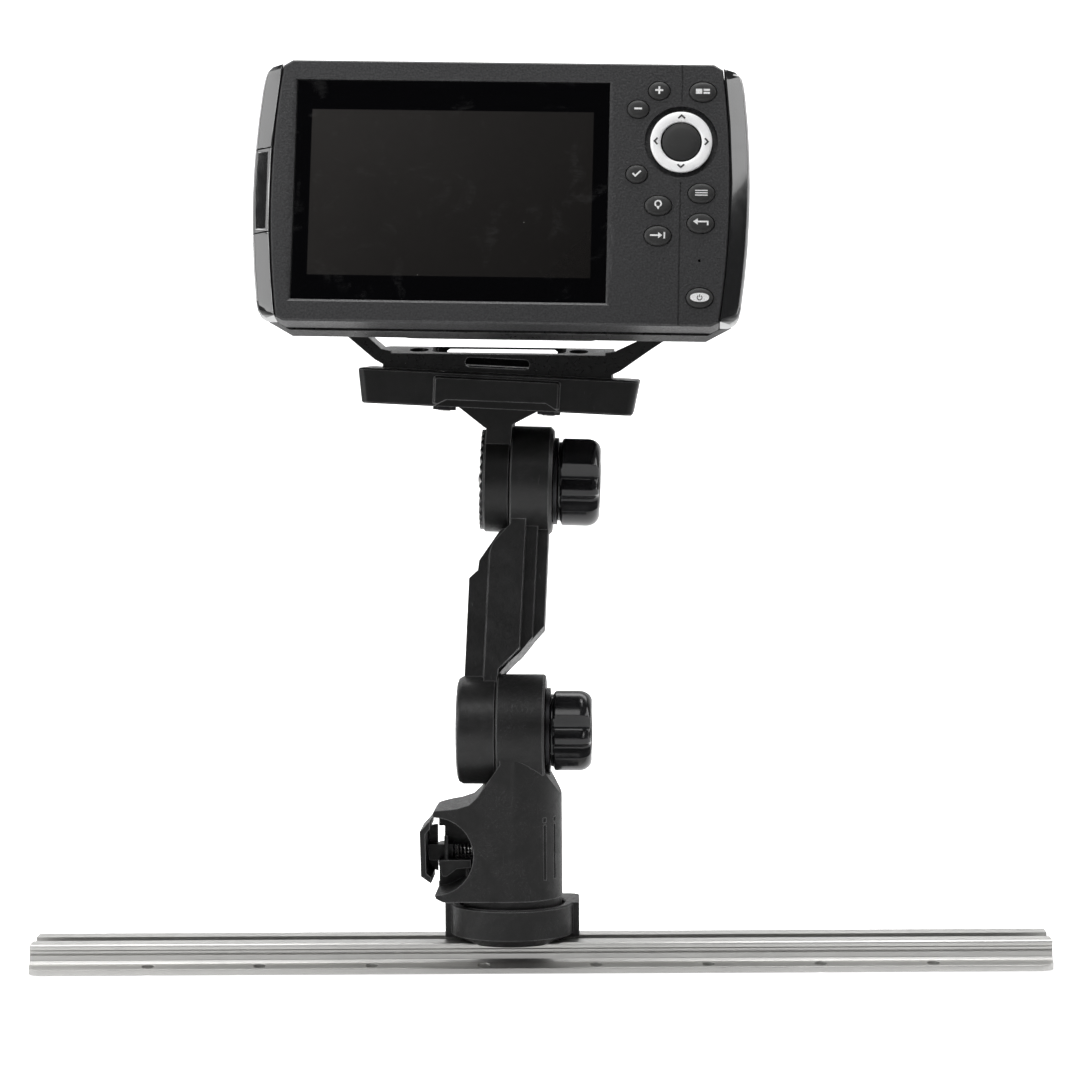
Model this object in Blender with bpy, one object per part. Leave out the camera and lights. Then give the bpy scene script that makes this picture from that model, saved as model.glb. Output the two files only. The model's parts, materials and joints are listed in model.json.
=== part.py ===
"""Five inch fish finder on a clutch arm, swivel post and slotted aluminium track.

Every length below is in millimetres; MM turns it into metres when a mesh is made.
World frame: origin under the middle of the track, X along the track, Y away from the
viewer of the screen, Z up.
"""
import math

import bmesh
import bpy
from mathutils import Matrix, Vector

MM = 0.001
GAP = 0.3                      # play between pieces that touch

# Track
RAIL_LENGTH = 406.4
RAIL_WIDTH = 44.45
RAIL_TOP = 11.0
RAIL_HOLE_PITCH = 44.45
RAIL_HOLE_COUNT = 8
RAIL_HOLE_Y = 18.2
RAIL_HOLE_RADIUS = 2.4
SLOT_HALF = 4.5
CAVITY_HALF = 9.6
CAVITY_FLOOR = 3.2
LIP_UNDERSIDE = 8.6
CHANNEL_HALF = 14.3

# Base cup that slides on the track
BASE_X = -11.2
CUP_RADIUS = 24.5
CUP_BORE = 21.3
CUP_TOP = 25.3
CUP_BOTTOM = 9.9               # the skirt hangs over the edges of the track's channel
CUP_FLOOR = 14.3
BASE_SIDE = 26.8
T_BOLT_X = 9.5
DETENT_STEPS = 12

# Swivel post
POST_YAW = math.radians(-1.4)
POST_RADIUS = 20.2
FOOT_RADIUS = 20.0
FOOT_BORE = 16.4
HOOD_LEFT = -30.4
HOOD_BOTTOM = 28.0
BITE_CENTRE = (-29.8, 46.3)
BITE_RADIUS = 15.5
PIN_X, PIN_Y, PIN_RADIUS = -17.0, -6.5, 1.1
STEM_CENTRE = (1.2, 45.5)      # y, z of the trigger's spring stem

# Clutch joints
JOINT_LEAN = math.radians(0.4)
LOWER_JOINT = (-16.5, 0.0, 94.3)
LOWER_DISC = 21.5
POST_EAR = 22.4
UPPER_DISC = 21.2
ARM_EAR = 22.0
BOLT_RADIUS = 3.1
BOLT_BORE = 3.6
ARM_LENGTH = 102.4
ARM_BACK = math.radians(15.0)
ARM_SHIFT = 0.8                # the upper joint plane sits this far right of the lower one
BEAM_LEAN = math.radians(2.05)     # the arm's beam leans this much more than its lower disc
UPPER_LEAN = math.radians(1.8)
PLATE_LEAN = math.radians(3.2)
LOWER_RIB, UPPER_RIB = (math.radians(a) for a in (-170.0, -168.0))     # where a rib of each knob points

# Mount plate, in the plate's own frame
PLATE_X = -5.5
PLATE_TOP, PLATE_BOTTOM = 43.1, 29.3
PLATE_HALF_TOP, PLATE_HALF_BOTTOM = 55.5, 53.4
PLATE_FRONT, PLATE_REAR = -41.0, 24.0
NUT_SEAT = 32.0
SCREW_SPREAD = 20.75
SCREW_Y = -27.0

# Gimbal bracket, in the plate's frame
BRACKET_X = -6.1
BRACKET_FRONT, BRACKET_REAR = -38.0, 0.0
BRACKET_BOTTOM = PLATE_TOP + GAP
BRACKET_HALF = 45.2
EYE_X = 80.8
EYE_RADIUS = 11.0
EYE_HALF_THICKNESS = 2.0
ARM_HALF_WIDTH = 8.0

# Display head: x from its centre line, y from its front face, z from the screen's middle
PIVOT_WORLD = (-11.98, -5.40, 297.98)
HEAD_YAW, HEAD_TILT, HEAD_ROLL = (math.radians(a) for a in (-1.54, -12.2, 1.29))
PIVOT_DEPTH = 38.0
FACE = 3.4                     # thickness of the bezel's front wall
BEZEL_DEPTH = 13.0
BEZEL_WALL = 2.0
BEZEL_TOP, BEZEL_BOTTOM = 52.5, -50.7
SCREEN_X = -19.0
GLASS_HALF_WIDTH = 60.4
GLASS_LOW, GLASS_HIGH = -41.8, 44.6
SEAL_THICKNESS = 1.0
TRAY_FRONT = BEZEL_DEPTH + SEAL_THICKNESS + 2 * GAP
TRAY_DEPTH = 21.0
SCREW_SEAT = 20.4
HOUSING_DEPTH = 54.0
DOOR_LOW, DOOR_HIGH = -15.6, 17.5
DOOR_DEPTH = 9.3
SOCKET_X = (-30.0, -4.0)
SOCKET_Z = -12.0
CURSOR_X, CURSOR_Z = 69.4, 21.6
CURSOR_RECESS = 14.1
KEYS = {                       # name: (x, z, hole width, hole height)
    "key_zoom_in": (60.6, 41.7, 9.0, 7.8),
    "key_zoom_out": (52.6, 34.3, 9.0, 7.8),
    "key_check": (52.5, 8.6, 9.0, 7.8),
    "key_view": (77.4, 41.4, 11.1, 8.5),
    "key_menu": (77.5, 1.3, 11.1, 8.5),
    "key_mark": (61.0, -3.7, 11.1, 8.5),
    "key_exit": (77.4, -10.5, 11.1, 8.5),
    "key_goto": (61.0, -15.6, 11.1, 8.5),
    "key_power": (77.5, -39.7, 11.1, 8.5),
}
BOSSES = {                     # name of the screw: (x, z, boss radius)
    "housing_screw_top_left": (-78.0, 47.2, 2.6),
    "housing_screw_top_right": (50.5, 47.0, 2.4),
    "housing_screw_bottom_left": (-78.0, -46.4, 2.6),
    "housing_screw_bottom_right": (60.0, -46.6, 2.3),
}

# Finishes: colour, roughness, metallic
ALUMINIUM = ((0.62, 0.62, 0.63), 0.35, 1.0)
STEEL = ((0.55, 0.55, 0.56), 0.25, 1.0)
BLACK_STEEL = ((0.035, 0.035, 0.037), 0.38, 1.0)
BRASS = ((0.55, 0.38, 0.14), 0.35, 1.0)
NYLON = ((0.022, 0.022, 0.024), 0.55, 0.0)
KNOB_BLACK = ((0.012, 0.012, 0.013), 0.25, 0.0)
BEZEL_GREY = ((0.050, 0.050, 0.053), 0.45, 0.0)
GLOSS_BLACK = ((0.008, 0.008, 0.009), 0.08, 0.0)
RUBBER = ((0.020, 0.020, 0.021), 0.70, 0.0)
SILVER_WHITE = ((0.80, 0.80, 0.81), 0.35, 0.0)
PANEL_DARK = ((0.012, 0.011, 0.010), 0.20, 0.0)
BOARD_GREEN = ((0.02, 0.14, 0.05), 0.45, 0.0)


# ---------------------------------------------------------------- outlines

def circle(radius, count=32, centre=(0.0, 0.0), start=0.0):
    """Points of a circle, counterclockwise."""
    turn = 2 * math.pi / count
    return [(centre[0] + radius * math.cos(start + i * turn),
             centre[1] + radius * math.sin(start + i * turn)) for i in range(count)]


def ellipse(width, height, count=16, centre=(0.0, 0.0)):
    return [(centre[0] + width / 2 * x, centre[1] + height / 2 * y) for x, y in circle(1.0, count)]


def arc(centre, radius, first, last, count):
    """Points of an arc between two angles in degrees, both ends included."""
    angles = [math.radians(first + (last - first) * i / (count - 1)) for i in range(count)]
    return [(centre[0] + radius * math.cos(a), centre[1] + radius * math.sin(a)) for a in angles]


def rectangle(x0, x1, y0, y1):
    return [(x0, y0), (x1, y0), (x1, y1), (x0, y1)]


def rounded(x0, x1, y0, y1, low_radius, high_radius=None, count=4):
    """Counterclockwise rectangle whose lower and upper corners are rounded."""
    high = low_radius if high_radius is None else high_radius
    low = low_radius
    return (arc((x1 - low, y0 + low), low, -90, 0, count) + arc((x1 - high, y1 - high), high, 0, 90, count)
            + arc((x0 + high, y1 - high), high, 90, 180, count)
            + arc((x0 + low, y0 + low), low, 180, 270, count))


def bow(end, middle, low, high, z):
    """x of a side that bulges from `end` at both heights to `middle` between them."""
    t = (2 * z - low - high) / (high - low)
    return middle - (middle - end) * t * t


def bowed(left, right, low, high, count=9):
    """Counterclockwise four-sided outline; left and right are (end, middle) of bulging sides."""
    heights = [low + (high - low) * i / (count - 1) for i in range(count)]
    up = [(bow(*right, low, high, z), z) for z in heights]
    down = [(bow(*left, low, high, z), z) for z in reversed(heights)]
    return up + down


# ---------------------------------------------------------------- meshes

def point_on(axis, a, b, along):
    """Place the 2D point (a, b) of an outline on the plane square to `axis`."""
    return {"X": (along, a, b), "Y": (a, along, b), "Z": (a, b, along)}[axis]


def loop_on(axis, outline, along):
    return [point_on(axis, a, b, along) for a, b in outline]


def lofted(loops, closed=False):
    """Skin over loops of equally many 3D points, capped unless the last meets the first."""
    bm = bmesh.new()
    rings = [[bm.verts.new(Vector(p) * MM) for p in loop] for loop in loops]
    pairs = list(zip(rings, rings[1:]))
    if closed:
        pairs.append((rings[-1], rings[0]))
    for ring, following in pairs:
        for i in range(len(ring)):
            j = (i + 1) % len(ring)
            bm.faces.new((ring[i], ring[j], following[j], following[i]))
    if not closed:
        bm.faces.new(rings[0])
        bm.faces.new(rings[-1])
    bmesh.ops.recalc_face_normals(bm, faces=bm.faces)
    return bm


def prism(axis, outline, start, end):
    """Solid of an outline extruded from start to end along the axis."""
    bm = bmesh.new()
    face = bm.faces.new([bm.verts.new(Vector(p) * MM) for p in loop_on(axis, outline, start)])
    grown = bmesh.ops.extrude_face_region(bm, geom=[face])
    moved = [v for v in grown["geom"] if isinstance(v, bmesh.types.BMVert)]
    bmesh.ops.translate(bm, verts=moved, vec=Vector(point_on(axis, 0, 0, end - start)) * MM)
    bmesh.ops.recalc_face_normals(bm, faces=bm.faces)
    return bm


def turned(axis, profile, count=32, centre=(0.0, 0.0)):
    """Solid of revolution of a closed (radius, along) profile about a line along the axis."""
    direction = Vector(point_on(axis, 0, 0, 1))
    middle = Vector(point_on(axis, centre[0], centre[1], 0))
    bm = bmesh.new()
    points = [Vector(point_on(axis, centre[0] + r, centre[1], a)) for r, a in profile]
    verts = [bm.verts.new(p * MM) for p in points]
    edges = [bm.edges.new((verts[i - 1], verts[i])) for i in range(len(verts))]
    bmesh.ops.spin(bm, geom=verts + edges, cent=middle * MM, axis=direction, dvec=(0, 0, 0),
                   angle=2 * math.pi, steps=count, use_merge=True, use_duplicate=False)
    bmesh.ops.remove_doubles(bm, verts=bm.verts, dist=1e-7)
    lone = [e for e in bm.edges if not e.link_faces]
    bmesh.ops.delete(bm, geom=lone, context="EDGES")
    bmesh.ops.recalc_face_normals(bm, faces=bm.faces)
    return bm


def rod(axis, radius, start, end, centre=(0.0, 0.0), count=16):
    return prism(axis, circle(radius, count, centre), start, end)


def merged(*parts):
    """One mesh that holds several separate shapes."""
    whole = bmesh.new()
    for part in parts:
        mesh = bpy.data.meshes.new("shape")
        part.to_mesh(mesh)
        part.free()
        whole.from_mesh(mesh)
        bpy.data.meshes.remove(mesh)
    return whole


# ---------------------------------------------------------------- objects

FRAMES = {}


def add_frame(name, parent=None, matrix=Matrix()):
    """Empty at a joint or datum; `matrix` is its place in the world, in millimetres."""
    empty = bpy.data.objects.new(name, None)
    bpy.context.collection.objects.link(empty)
    empty.empty_display_size = 0.02
    world = Matrix.Translation(matrix.to_translation() * MM) @ matrix.to_3x3().to_4x4()
    FRAMES[name] = (empty, world)
    if parent:
        empty.parent = FRAMES[parent][0]
        world = FRAMES[parent][1].inverted() @ world
    empty.matrix_basis = world


def paint(obj, finish):
    colour, roughness, metallic = finish
    material = bpy.data.materials.new(obj.name)
    material.use_nodes = True
    shader = material.node_tree.nodes["Principled BSDF"]
    shader.inputs["Base Color"].default_value = (*colour, 1.0)
    shader.inputs["Roughness"].default_value = roughness
    shader.inputs["Metallic"].default_value = metallic
    obj.data.materials.append(material)


def add_part(name, frame, bm, finish, at=(0, 0, 0)):
    """Turn a bmesh into a named object in a frame, shaded smooth across shallow edges."""
    mesh = bpy.data.meshes.new(name)
    bm.to_mesh(mesh)
    bm.free()
    mesh.shade_smooth()
    mesh.set_sharp_from_angle(angle=math.radians(35))
    obj = bpy.data.objects.new(name, mesh)
    bpy.context.collection.objects.link(obj)
    obj.parent = FRAMES[frame][0]
    obj.location = Vector(at) * MM
    if finish:
        paint(obj, finish)
    return obj


def reshape(obj, operation, bm, frame=None):
    """Boolean of obj with a hidden tool given in a frame, obj's own unless another is named."""
    own = next(name for name, (empty, _) in FRAMES.items() if empty == obj.parent)
    tool = add_part("tool_" + obj.name, frame or own, bm, None)
    tool.hide_render = True
    tool.display_type = "WIRE"
    modifier = obj.modifiers.new(operation.lower(), "BOOLEAN")
    modifier.operation = operation
    modifier.solver = "EXACT"
    modifier.object = tool


def cut(obj, bm, frame=None):
    reshape(obj, "DIFFERENCE", bm, frame)


def join(obj, bm, frame=None):
    reshape(obj, "UNION", bm, frame)


# ---------------------------------------------------------------- frames

def make_frames():
    post = Matrix.Translation((BASE_X, 0, 0)) @ Matrix.Rotation(POST_YAW, 4, "Z")
    lower = (Matrix.Translation(LOWER_JOINT) @ Matrix.Rotation(POST_YAW, 4, "Z")
             @ Matrix.Rotation(JOINT_LEAN, 4, "Y"))
    arm = lower @ Matrix.Rotation(-ARM_BACK, 4, "X")
    beam = arm @ Matrix.Rotation(BEAM_LEAN, 4, "Y")
    top = (beam @ Matrix.Translation((ARM_SHIFT, 0, ARM_LENGTH))).to_translation()
    level = Matrix.Translation(top) @ Matrix.Rotation(POST_YAW, 4, "Z")
    upper = level @ Matrix.Rotation(UPPER_LEAN, 4, "Y")
    plate = level @ Matrix.Rotation(PLATE_LEAN, 4, "Y")
    head = (Matrix.Translation(PIVOT_WORLD) @ Matrix.Rotation(HEAD_YAW, 4, "Z")
            @ Matrix.Rotation(HEAD_TILT, 4, "X") @ Matrix.Rotation(HEAD_ROLL, 4, "Y")
            @ Matrix.Translation((0, -PIVOT_DEPTH, 0)))
    pivot = head @ Matrix.Translation((0, PIVOT_DEPTH, 0))
    add_frame("track_frame")
    add_frame("base_frame", "track_frame", Matrix.Translation((BASE_X, 0, 0)))
    add_frame("post_frame", "base_frame", post)
    add_frame("lower_joint", "post_frame", lower)
    add_frame("arm_frame", "lower_joint", arm)
    add_frame("beam_frame", "arm_frame", beam)
    add_frame("upper_joint", "arm_frame", upper)
    add_frame("plate_frame", "upper_joint", plate)
    add_frame("head_pivot", "upper_joint", pivot)
    add_frame("head_frame", "head_pivot", head)
    add_frame("door_hinge", "head_frame", head @ Matrix.Translation((-95.2, DOOR_DEPTH - 0.6, 0)))
    add_frame("cursor_pivot", "head_frame", head @ Matrix.Translation((CURSOR_X, 1.4, CURSOR_Z)))
    for name, (x, z, _, _) in KEYS.items():
        add_frame(name + "_axis", "head_frame", head @ Matrix.Translation((x, 0, z)))


# ---------------------------------------------------------------- track and base

def track_rail():
    """Extruded T-slot with two drilled flanges and rounded ends."""
    half = RAIL_WIDTH / 2
    right = [(half, 0), (half, 2.2), (15.4, 3.4), (CHANNEL_HALF, 4.6), (CHANNEL_HALF, 6.8),
             (13.3, 7.1), (13.3, 8.4), (CHANNEL_HALF, 8.8), (CHANNEL_HALF, 10.4), (13.7, RAIL_TOP),
             (SLOT_HALF, RAIL_TOP), (SLOT_HALF, LIP_UNDERSIDE), (CAVITY_HALF, LIP_UNDERSIDE),
             (CAVITY_HALF, CAVITY_FLOOR)]
    left = [(-y, z) for y, z in reversed(right)]
    end = RAIL_LENGTH / 2
    rail = add_part("track_rail", "track_frame", prism("X", right + left, -end, end), ALUMINIUM)
    plan = rounded(-end, end, -half, half, 5.0)
    reshape(rail, "INTERSECT", prism("Z", plan, -1, RAIL_TOP + 1))
    holes = []
    for i in range(RAIL_HOLE_COUNT):
        x = (i - (RAIL_HOLE_COUNT - 1) / 2) * RAIL_HOLE_PITCH
        for y in (-RAIL_HOLE_Y, RAIL_HOLE_Y):
            holes.append(rod("Z", RAIL_HOLE_RADIUS, -1, 6, (x, y), 12))
    cut(rail, merged(*holes))


def track_base():
    """Round cup with a square back, bored for the post and for two T-bolts."""
    wall = [(0, CUP_BOTTOM), (19.3, CUP_BOTTOM), (CUP_RADIUS, 13.2), (CUP_RADIUS, CUP_TOP - 0.7),
            (CUP_RADIUS - 0.7, CUP_TOP), (0, CUP_TOP)]
    base = add_part("track_base", "base_frame", turned("Z", wall, 40), NYLON)
    back = rounded(-BASE_SIDE, BASE_SIDE, -3.0, 20.5, 0.8, 4.0, 4)
    join(base, prism("Z", back, CUP_BOTTOM + 1.0, CUP_TOP - 0.01))
    bore = [(0, CUP_FLOOR), (CUP_BORE, CUP_FLOOR), (CUP_BORE, 20.4), (22.4, 20.4), (22.4, 23.0),
            (CUP_BORE, 23.0), (CUP_BORE, CUP_TOP - 0.5), (CUP_BORE + 1.5, CUP_TOP + 1.0), (0, CUP_TOP + 1.0)]
    cut(base, turned("Z", bore, 40))
    cut(base, prism("X", rectangle(-CHANNEL_HALF - GAP, CHANNEL_HALF + GAP, 5, RAIL_TOP + GAP), -40, 40))
    cut(base, merged(*[rod("Z", BOLT_BORE, 10, 16, (side * T_BOLT_X, 0)) for side in (-1, 1)]))


def t_bolt(name, x):
    """Bolt whose oblong head slides under the track's lips."""
    head = rounded(x - 6, x + 6, -8.8, 8.8, 2.0, count=4)
    bolt = add_part(name, "base_frame", prism("Z", head, CAVITY_FLOOR + 0.7, LIP_UNDERSIDE - GAP), STEEL)
    join(bolt, rod("Z", BOLT_RADIUS, CAVITY_FLOOR + 2, 20.5, (x, 0)))


def hex_nut(name, frame, axis, centre, low, high, across=5.6, bore=BOLT_BORE - 0.2, finish=STEEL):
    nut = add_part(name, frame, prism(axis, circle(across, 6, centre), low, high), finish)
    cut(nut, rod(axis, bore, low - 1, high + 1, centre))


def detent_ring():
    """Ring on the cup's floor whose notches hold the lock pin every thirty degrees."""
    profile = [(FOOT_BORE + GAP, CUP_FLOOR + GAP), (CUP_BORE - GAP, CUP_FLOOR + GAP),
               (CUP_BORE - GAP, 17.8), (FOOT_BORE + GAP, 17.8)]
    ring = add_part("detent_ring", "base_frame", turned("Z", profile, 32), NYLON)
    radius = math.hypot(PIN_X, PIN_Y)
    pin_angle = math.atan2(PIN_Y, PIN_X) + POST_YAW
    turn = 2 * math.pi / DETENT_STEPS
    spots = [(radius * math.cos(pin_angle + i * turn), radius * math.sin(pin_angle + i * turn))
             for i in range(DETENT_STEPS)]
    cut(ring, merged(*[rod("Z", 1.6, 13, 19, spot, 6) for spot in spots]))


def retaining_ring():
    """Ring in the cup's groove that keeps the foot from lifting out."""
    profile = [(19.6, 20.7), (22.1, 20.7), (22.1, 22.7), (19.6, 22.7)]
    add_part("retaining_ring", "base_frame", turned("Z", profile, 32), STEEL)


# ---------------------------------------------------------------- post

def post_body():
    """Swivel housing: hooded body with a round bite for the trigger, foot and clutch ear."""
    front = [(-26.4, HOOD_BOTTOM), (-29.2, 29.4), (HOOD_LEFT, 32.4), (HOOD_LEFT, 63.2), (-29.4, 64.4),
             (-20.4, 65.3), (-16.0, 66.6), (-12.6, 69.8), (-3.6, 82.5), (-3.6, 96.0), (13.4, 96.0),
             (13.6, 79.5), (POST_RADIUS, 69.0), (POST_RADIUS, HOOD_BOTTOM)]
    plan = (arc((0, 0), POST_RADIUS, -90, 90, 25) + arc((HOOD_LEFT + 18, POST_RADIUS - 18), 18, 90, 180, 10)
            + arc((HOOD_LEFT + 1, 1 - POST_RADIUS), 1, 180, 270, 3))
    body = add_part("post_body", "post_frame", prism("Y", front, -30, 30), NYLON)
    reshape(body, "INTERSECT", prism("Z", plan, 20, 110))
    ear = [(0, 0.15), (POST_EAR - 0.5, 0.15), (POST_EAR, 0.65), (POST_EAR, 18.6),
           (POST_EAR - 0.7, 19.3), (0, 19.3)]
    cut(body, rod("X", LOWER_DISC + 0.7, -30, 0.0, count=40), "lower_joint")
    join(body, turned("X", ear, 40), "lower_joint")
    cut(body, rod("X", 18.1, 19.42, 42, count=32), "lower_joint")
    foot = [(FOOT_BORE, 18.2), (FOOT_RADIUS, 18.2), (FOOT_RADIUS, 20.4), (19.2, 20.4), (19.2, 23.0),
            (FOOT_RADIUS, 23.0), (FOOT_RADIUS, 30.0), (FOOT_BORE, 30.0)]
    cut(body, rod("Z", FOOT_BORE, 10, 34, count=32))
    join(body, turned("Z", foot, 32))
    cut(body, rod("X", BOLT_BORE, -3, 24), "lower_joint")
    trigger_bay(body)
    grip_grooves(body)


def trigger_bay(body):
    """Round bite from both faces, the windowed web between them and the lock's bores."""
    cut(body, rod("Y", BITE_RADIUS, -31, 6.5, BITE_CENTRE, 32))
    cut(body, rod("Y", BITE_RADIUS, 10.0, 31, BITE_CENTRE, 32))
    cut(body, prism("Y", rectangle(-40, -29.5, 32.6, 60.0), 5.5, 11.0))
    cut(body, prism("Y", rectangle(-31, -27.2, 48.4, 55.0), 5.0, 11.5))
    cut(body, rod("Z", PIN_RADIUS + 0.3, 10, 46, (PIN_X, PIN_Y)))
    cut(body, rod("X", 1.7, -17, -6.5, STEM_CENTRE))


def grip_grooves(body):
    """Two shallow upright grooves on the round side, each below a small dimple."""
    tools = []
    for angle in (-46.9, -29.4):
        direction = math.radians(angle)
        x, y = POST_RADIUS * math.cos(direction), POST_RADIUS * math.sin(direction)
        tools.append(prism("Z", rectangle(x - 0.6, x + 0.6, y - 0.6, y + 0.6), 36.0, 58.0))
        tools.append(rod("Z", 0.9, 59.0, 60.8, (x, y), 10))
    cut(body, merged(*tools))


def trigger():
    """Squeeze pad with its back wall, guide block and spring stem."""
    pad = [(-31.5, 60.4), (-35.6, 56.0), (-35.2, 38.2), (-31.2, 35.4), (-31.2, 37.8), (-33.1, 39.4),
           (-33.4, 54.9), (-31.5, 57.2)]
    piece = add_part("trigger", "post_frame", prism("Y", pad, -19, 6.0), NYLON)
    join(piece, prism("Y", [(-34.2, 55.2), (-34.0, 38.8), (-29.8, 37.0), (-29.8, 56.0)], 4.4, 5.9))
    join(piece, prism("Y", rectangle(-34.0, -23.5, 42.2, 48.6), -2.0, 5.0))
    join(piece, rod("X", 1.2, -24, -13, STEM_CENTRE, 12))


def coil(name, frame, start, end, radius, wire, turns, centre, finish):
    """Compression spring along X, its wire swept along a helix."""
    steps, sides = 8, 5
    loops = []
    for i in range(turns * steps + 1):
        angle = 2 * math.pi * i / steps
        along = start + (end - start) * i / (turns * steps)
        out = Vector((0, math.cos(angle), math.sin(angle)))
        middle = Vector((along, *centre)) + out * radius
        loops.append([tuple(middle + out * (wire * math.cos(a)) + Vector((wire * math.sin(a), 0, 0)))
                      for a in (2 * math.pi * s / sides for s in range(sides))])
    add_part(name, frame, lofted(loops), finish)


def lock_catch():
    """Catch the trigger lifts: wedge, guide stem and the pin that drops into the ring."""
    wedge = [(-28.7, 43.4), (-28.7, 41.8), (-27.2, 36.9), (-25.4, 36.9), (-21.5, 39.9), (-15.95, 40.3),
             (-15.95, 43.4)]
    catch = add_part("lock_catch", "post_frame", prism("Y", wedge, -10.0, -3.0), NYLON)
    join(catch, rod("Z", PIN_RADIUS, 14.9, 42.5, (PIN_X, PIN_Y), 10))
    join(catch, rod("Z", 0.85, 42.5, 53.0, (-25.7, -8.3), 8))


# ---------------------------------------------------------------- clutch arm

def clutch_arm():
    """Cast arm: a friction disc at each end, side flanges and a raised box down the middle."""
    low = [(0, -15.8), (LOWER_DISC - 2.6, -15.8), (LOWER_DISC - 0.9, -15.2), (LOWER_DISC, -13.6),
           (LOWER_DISC, -0.6), (LOWER_DISC - 0.5, -0.15), (0, -0.15)]
    web = [(-13.9, 6.0), (-0.15, 6.0), (-0.15, 22.4), (12.9, 36.8), (17.0, 41.9), (16.9, 101.6),
           (1.2, 101.6), (1.2, 84.0), (-3.1, 79.5), (-10.4, 67.7), (-10.7, 63.7), (-14.1, 60.3)]
    box = [(-6.5, 8.0), (-0.2, 14.0), (-0.2, 22.6), (8.0, 30.6), (12.6, 36.8), (12.7, 83.4), (7.6, 89.0),
           (1.2, 89.0), (1.2, 82.4), (-5.2, 74.6), (-6.5, 70.3)]
    inner = [(-5.9, 9.0), (-0.8, 14.2), (-0.2, 22.8), (7.8, 31.6), (7.9, 88.0), (1.8, 88.0), (1.8, 82.0),
             (-4.8, 74.2), (-5.9, 70.1)]
    arm = add_part("clutch_arm", "arm_frame", turned("X", low, 40), NYLON)
    for outline, half in ((web, 5.5), (box, 8.0), (inner, 12.0)):
        join(arm, prism("Y", outline, -half, half), "beam_frame")
    high = [(0, 0.15), (ARM_EAR - 0.5, 0.15), (ARM_EAR, 0.6), (ARM_EAR, 15.6),
            (ARM_EAR - 1.4, 17.0), (0, 17.0)]
    cut(arm, rod("X", UPPER_DISC + 0.7, -30, 0.0, count=40), "upper_joint")
    cut(arm, rod("X", ARM_EAR + 0.7, 17.3, 40, count=40), "upper_joint")
    join(arm, turned("X", high, 40), "upper_joint")
    cut(arm, rod("X", POST_EAR + 0.4, 0.0, 40, count=40), "lower_joint")
    cut(arm, rod("X", BOLT_BORE, -20, 5))
    cut(arm, rod("X", BOLT_BORE, -5, 20), "upper_joint")
    cut(arm, prism("X", circle(7.0, 6), -20, -11.0))


def lower_bolt():
    bolt = add_part("lower_bolt", "arm_frame", prism("X", circle(6.5, 6), -14.8, -11.3), STEEL)
    join(bolt, rod("X", BOLT_RADIUS, -12, 31.5))


def upper_bolt():
    """Domed bolt; its head shows in the middle of the toothed disc."""
    dome = [(0, -13.6), (2.2, -13.3), (4.0, -12.4), (4.9, -10.9), (BOLT_RADIUS, -10.9),
            (BOLT_RADIUS, 30.5), (0, 30.5)]
    add_part("upper_bolt", "upper_joint", turned("X", dome, 16), STEEL)


def washer(name, frame, start, radius, thickness=1.6):
    profile = [(4.0, start), (radius, start), (radius, start + thickness), (4.0, start + thickness)]
    add_part(name, frame, turned("X", profile, 28), BLACK_STEEL)


def lobed(radius, lobes, depth, shift, count=24):
    """Outline of a knob whose flutes sink `depth` into a round blank."""
    points = []
    for i in range(count):
        angle = 2 * math.pi * i / count
        wave = 0.5 + 0.5 * math.cos(lobes * (angle - shift))
        r = radius - depth * wave ** 3
        points.append((r * math.cos(angle), r * math.sin(angle)))
    return points


def scalloped(radius, depth, rib):
    """Outline of a knob with three broad lobes and three narrow ribs between scallops.

    `rib` is the angle of one rib's middle. Each span runs from the start of a scallop to its
    end and on to the start of the next one, in degrees from that rib.
    """
    points = []
    for turn in (0, 120, 240):
        for first, last, following in ((4, 28, 82), (82, 116, 124)):
            scallop = [(first + (last - first) * i / 6, depth * math.sin(math.pi * i / 6)) for i in range(7)]
            crest = [(last + (following - last) * i / 3, 0.0) for i in (1, 2)]
            for angle, sunk in scallop + crest:
                at = rib + math.radians(turn + angle)
                points.append(((radius - sunk) * math.cos(at), (radius - sunk) * math.sin(at)))
    return points


def clutch_knob(name, frame, start, length, radius, rib):
    """Winged knob with a flange, a well rounded end and a blind bore for its insert."""
    end = start + length
    stations = [(start, 0.90, 0.0), (start + 1.0, 0.90, 0.0), (start + 1.3, 1.0, 3.6), (end - 5.4, 1.0, 3.6),
                (end - 2.4, 0.955, 3.4), (end - 0.8, 0.865, 3.0), (end, 0.74, 2.4)]
    loops = [loop_on("X", scalloped(radius * scale, depth, rib), x) for x, scale, depth in stations]
    knob = add_part(name, frame, lofted(loops), KNOB_BLACK)
    cut(knob, rod("X", 5.3, start - 1, start + 11.6))


def knob_insert(name, frame, start):
    profile = [(3.4, start), (5.0, start), (5.0, start + 11.0), (3.4, start + 11.0)]
    add_part(name, frame, turned("X", profile, 20), BRASS)


# ---------------------------------------------------------------- plate and bracket

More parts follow.
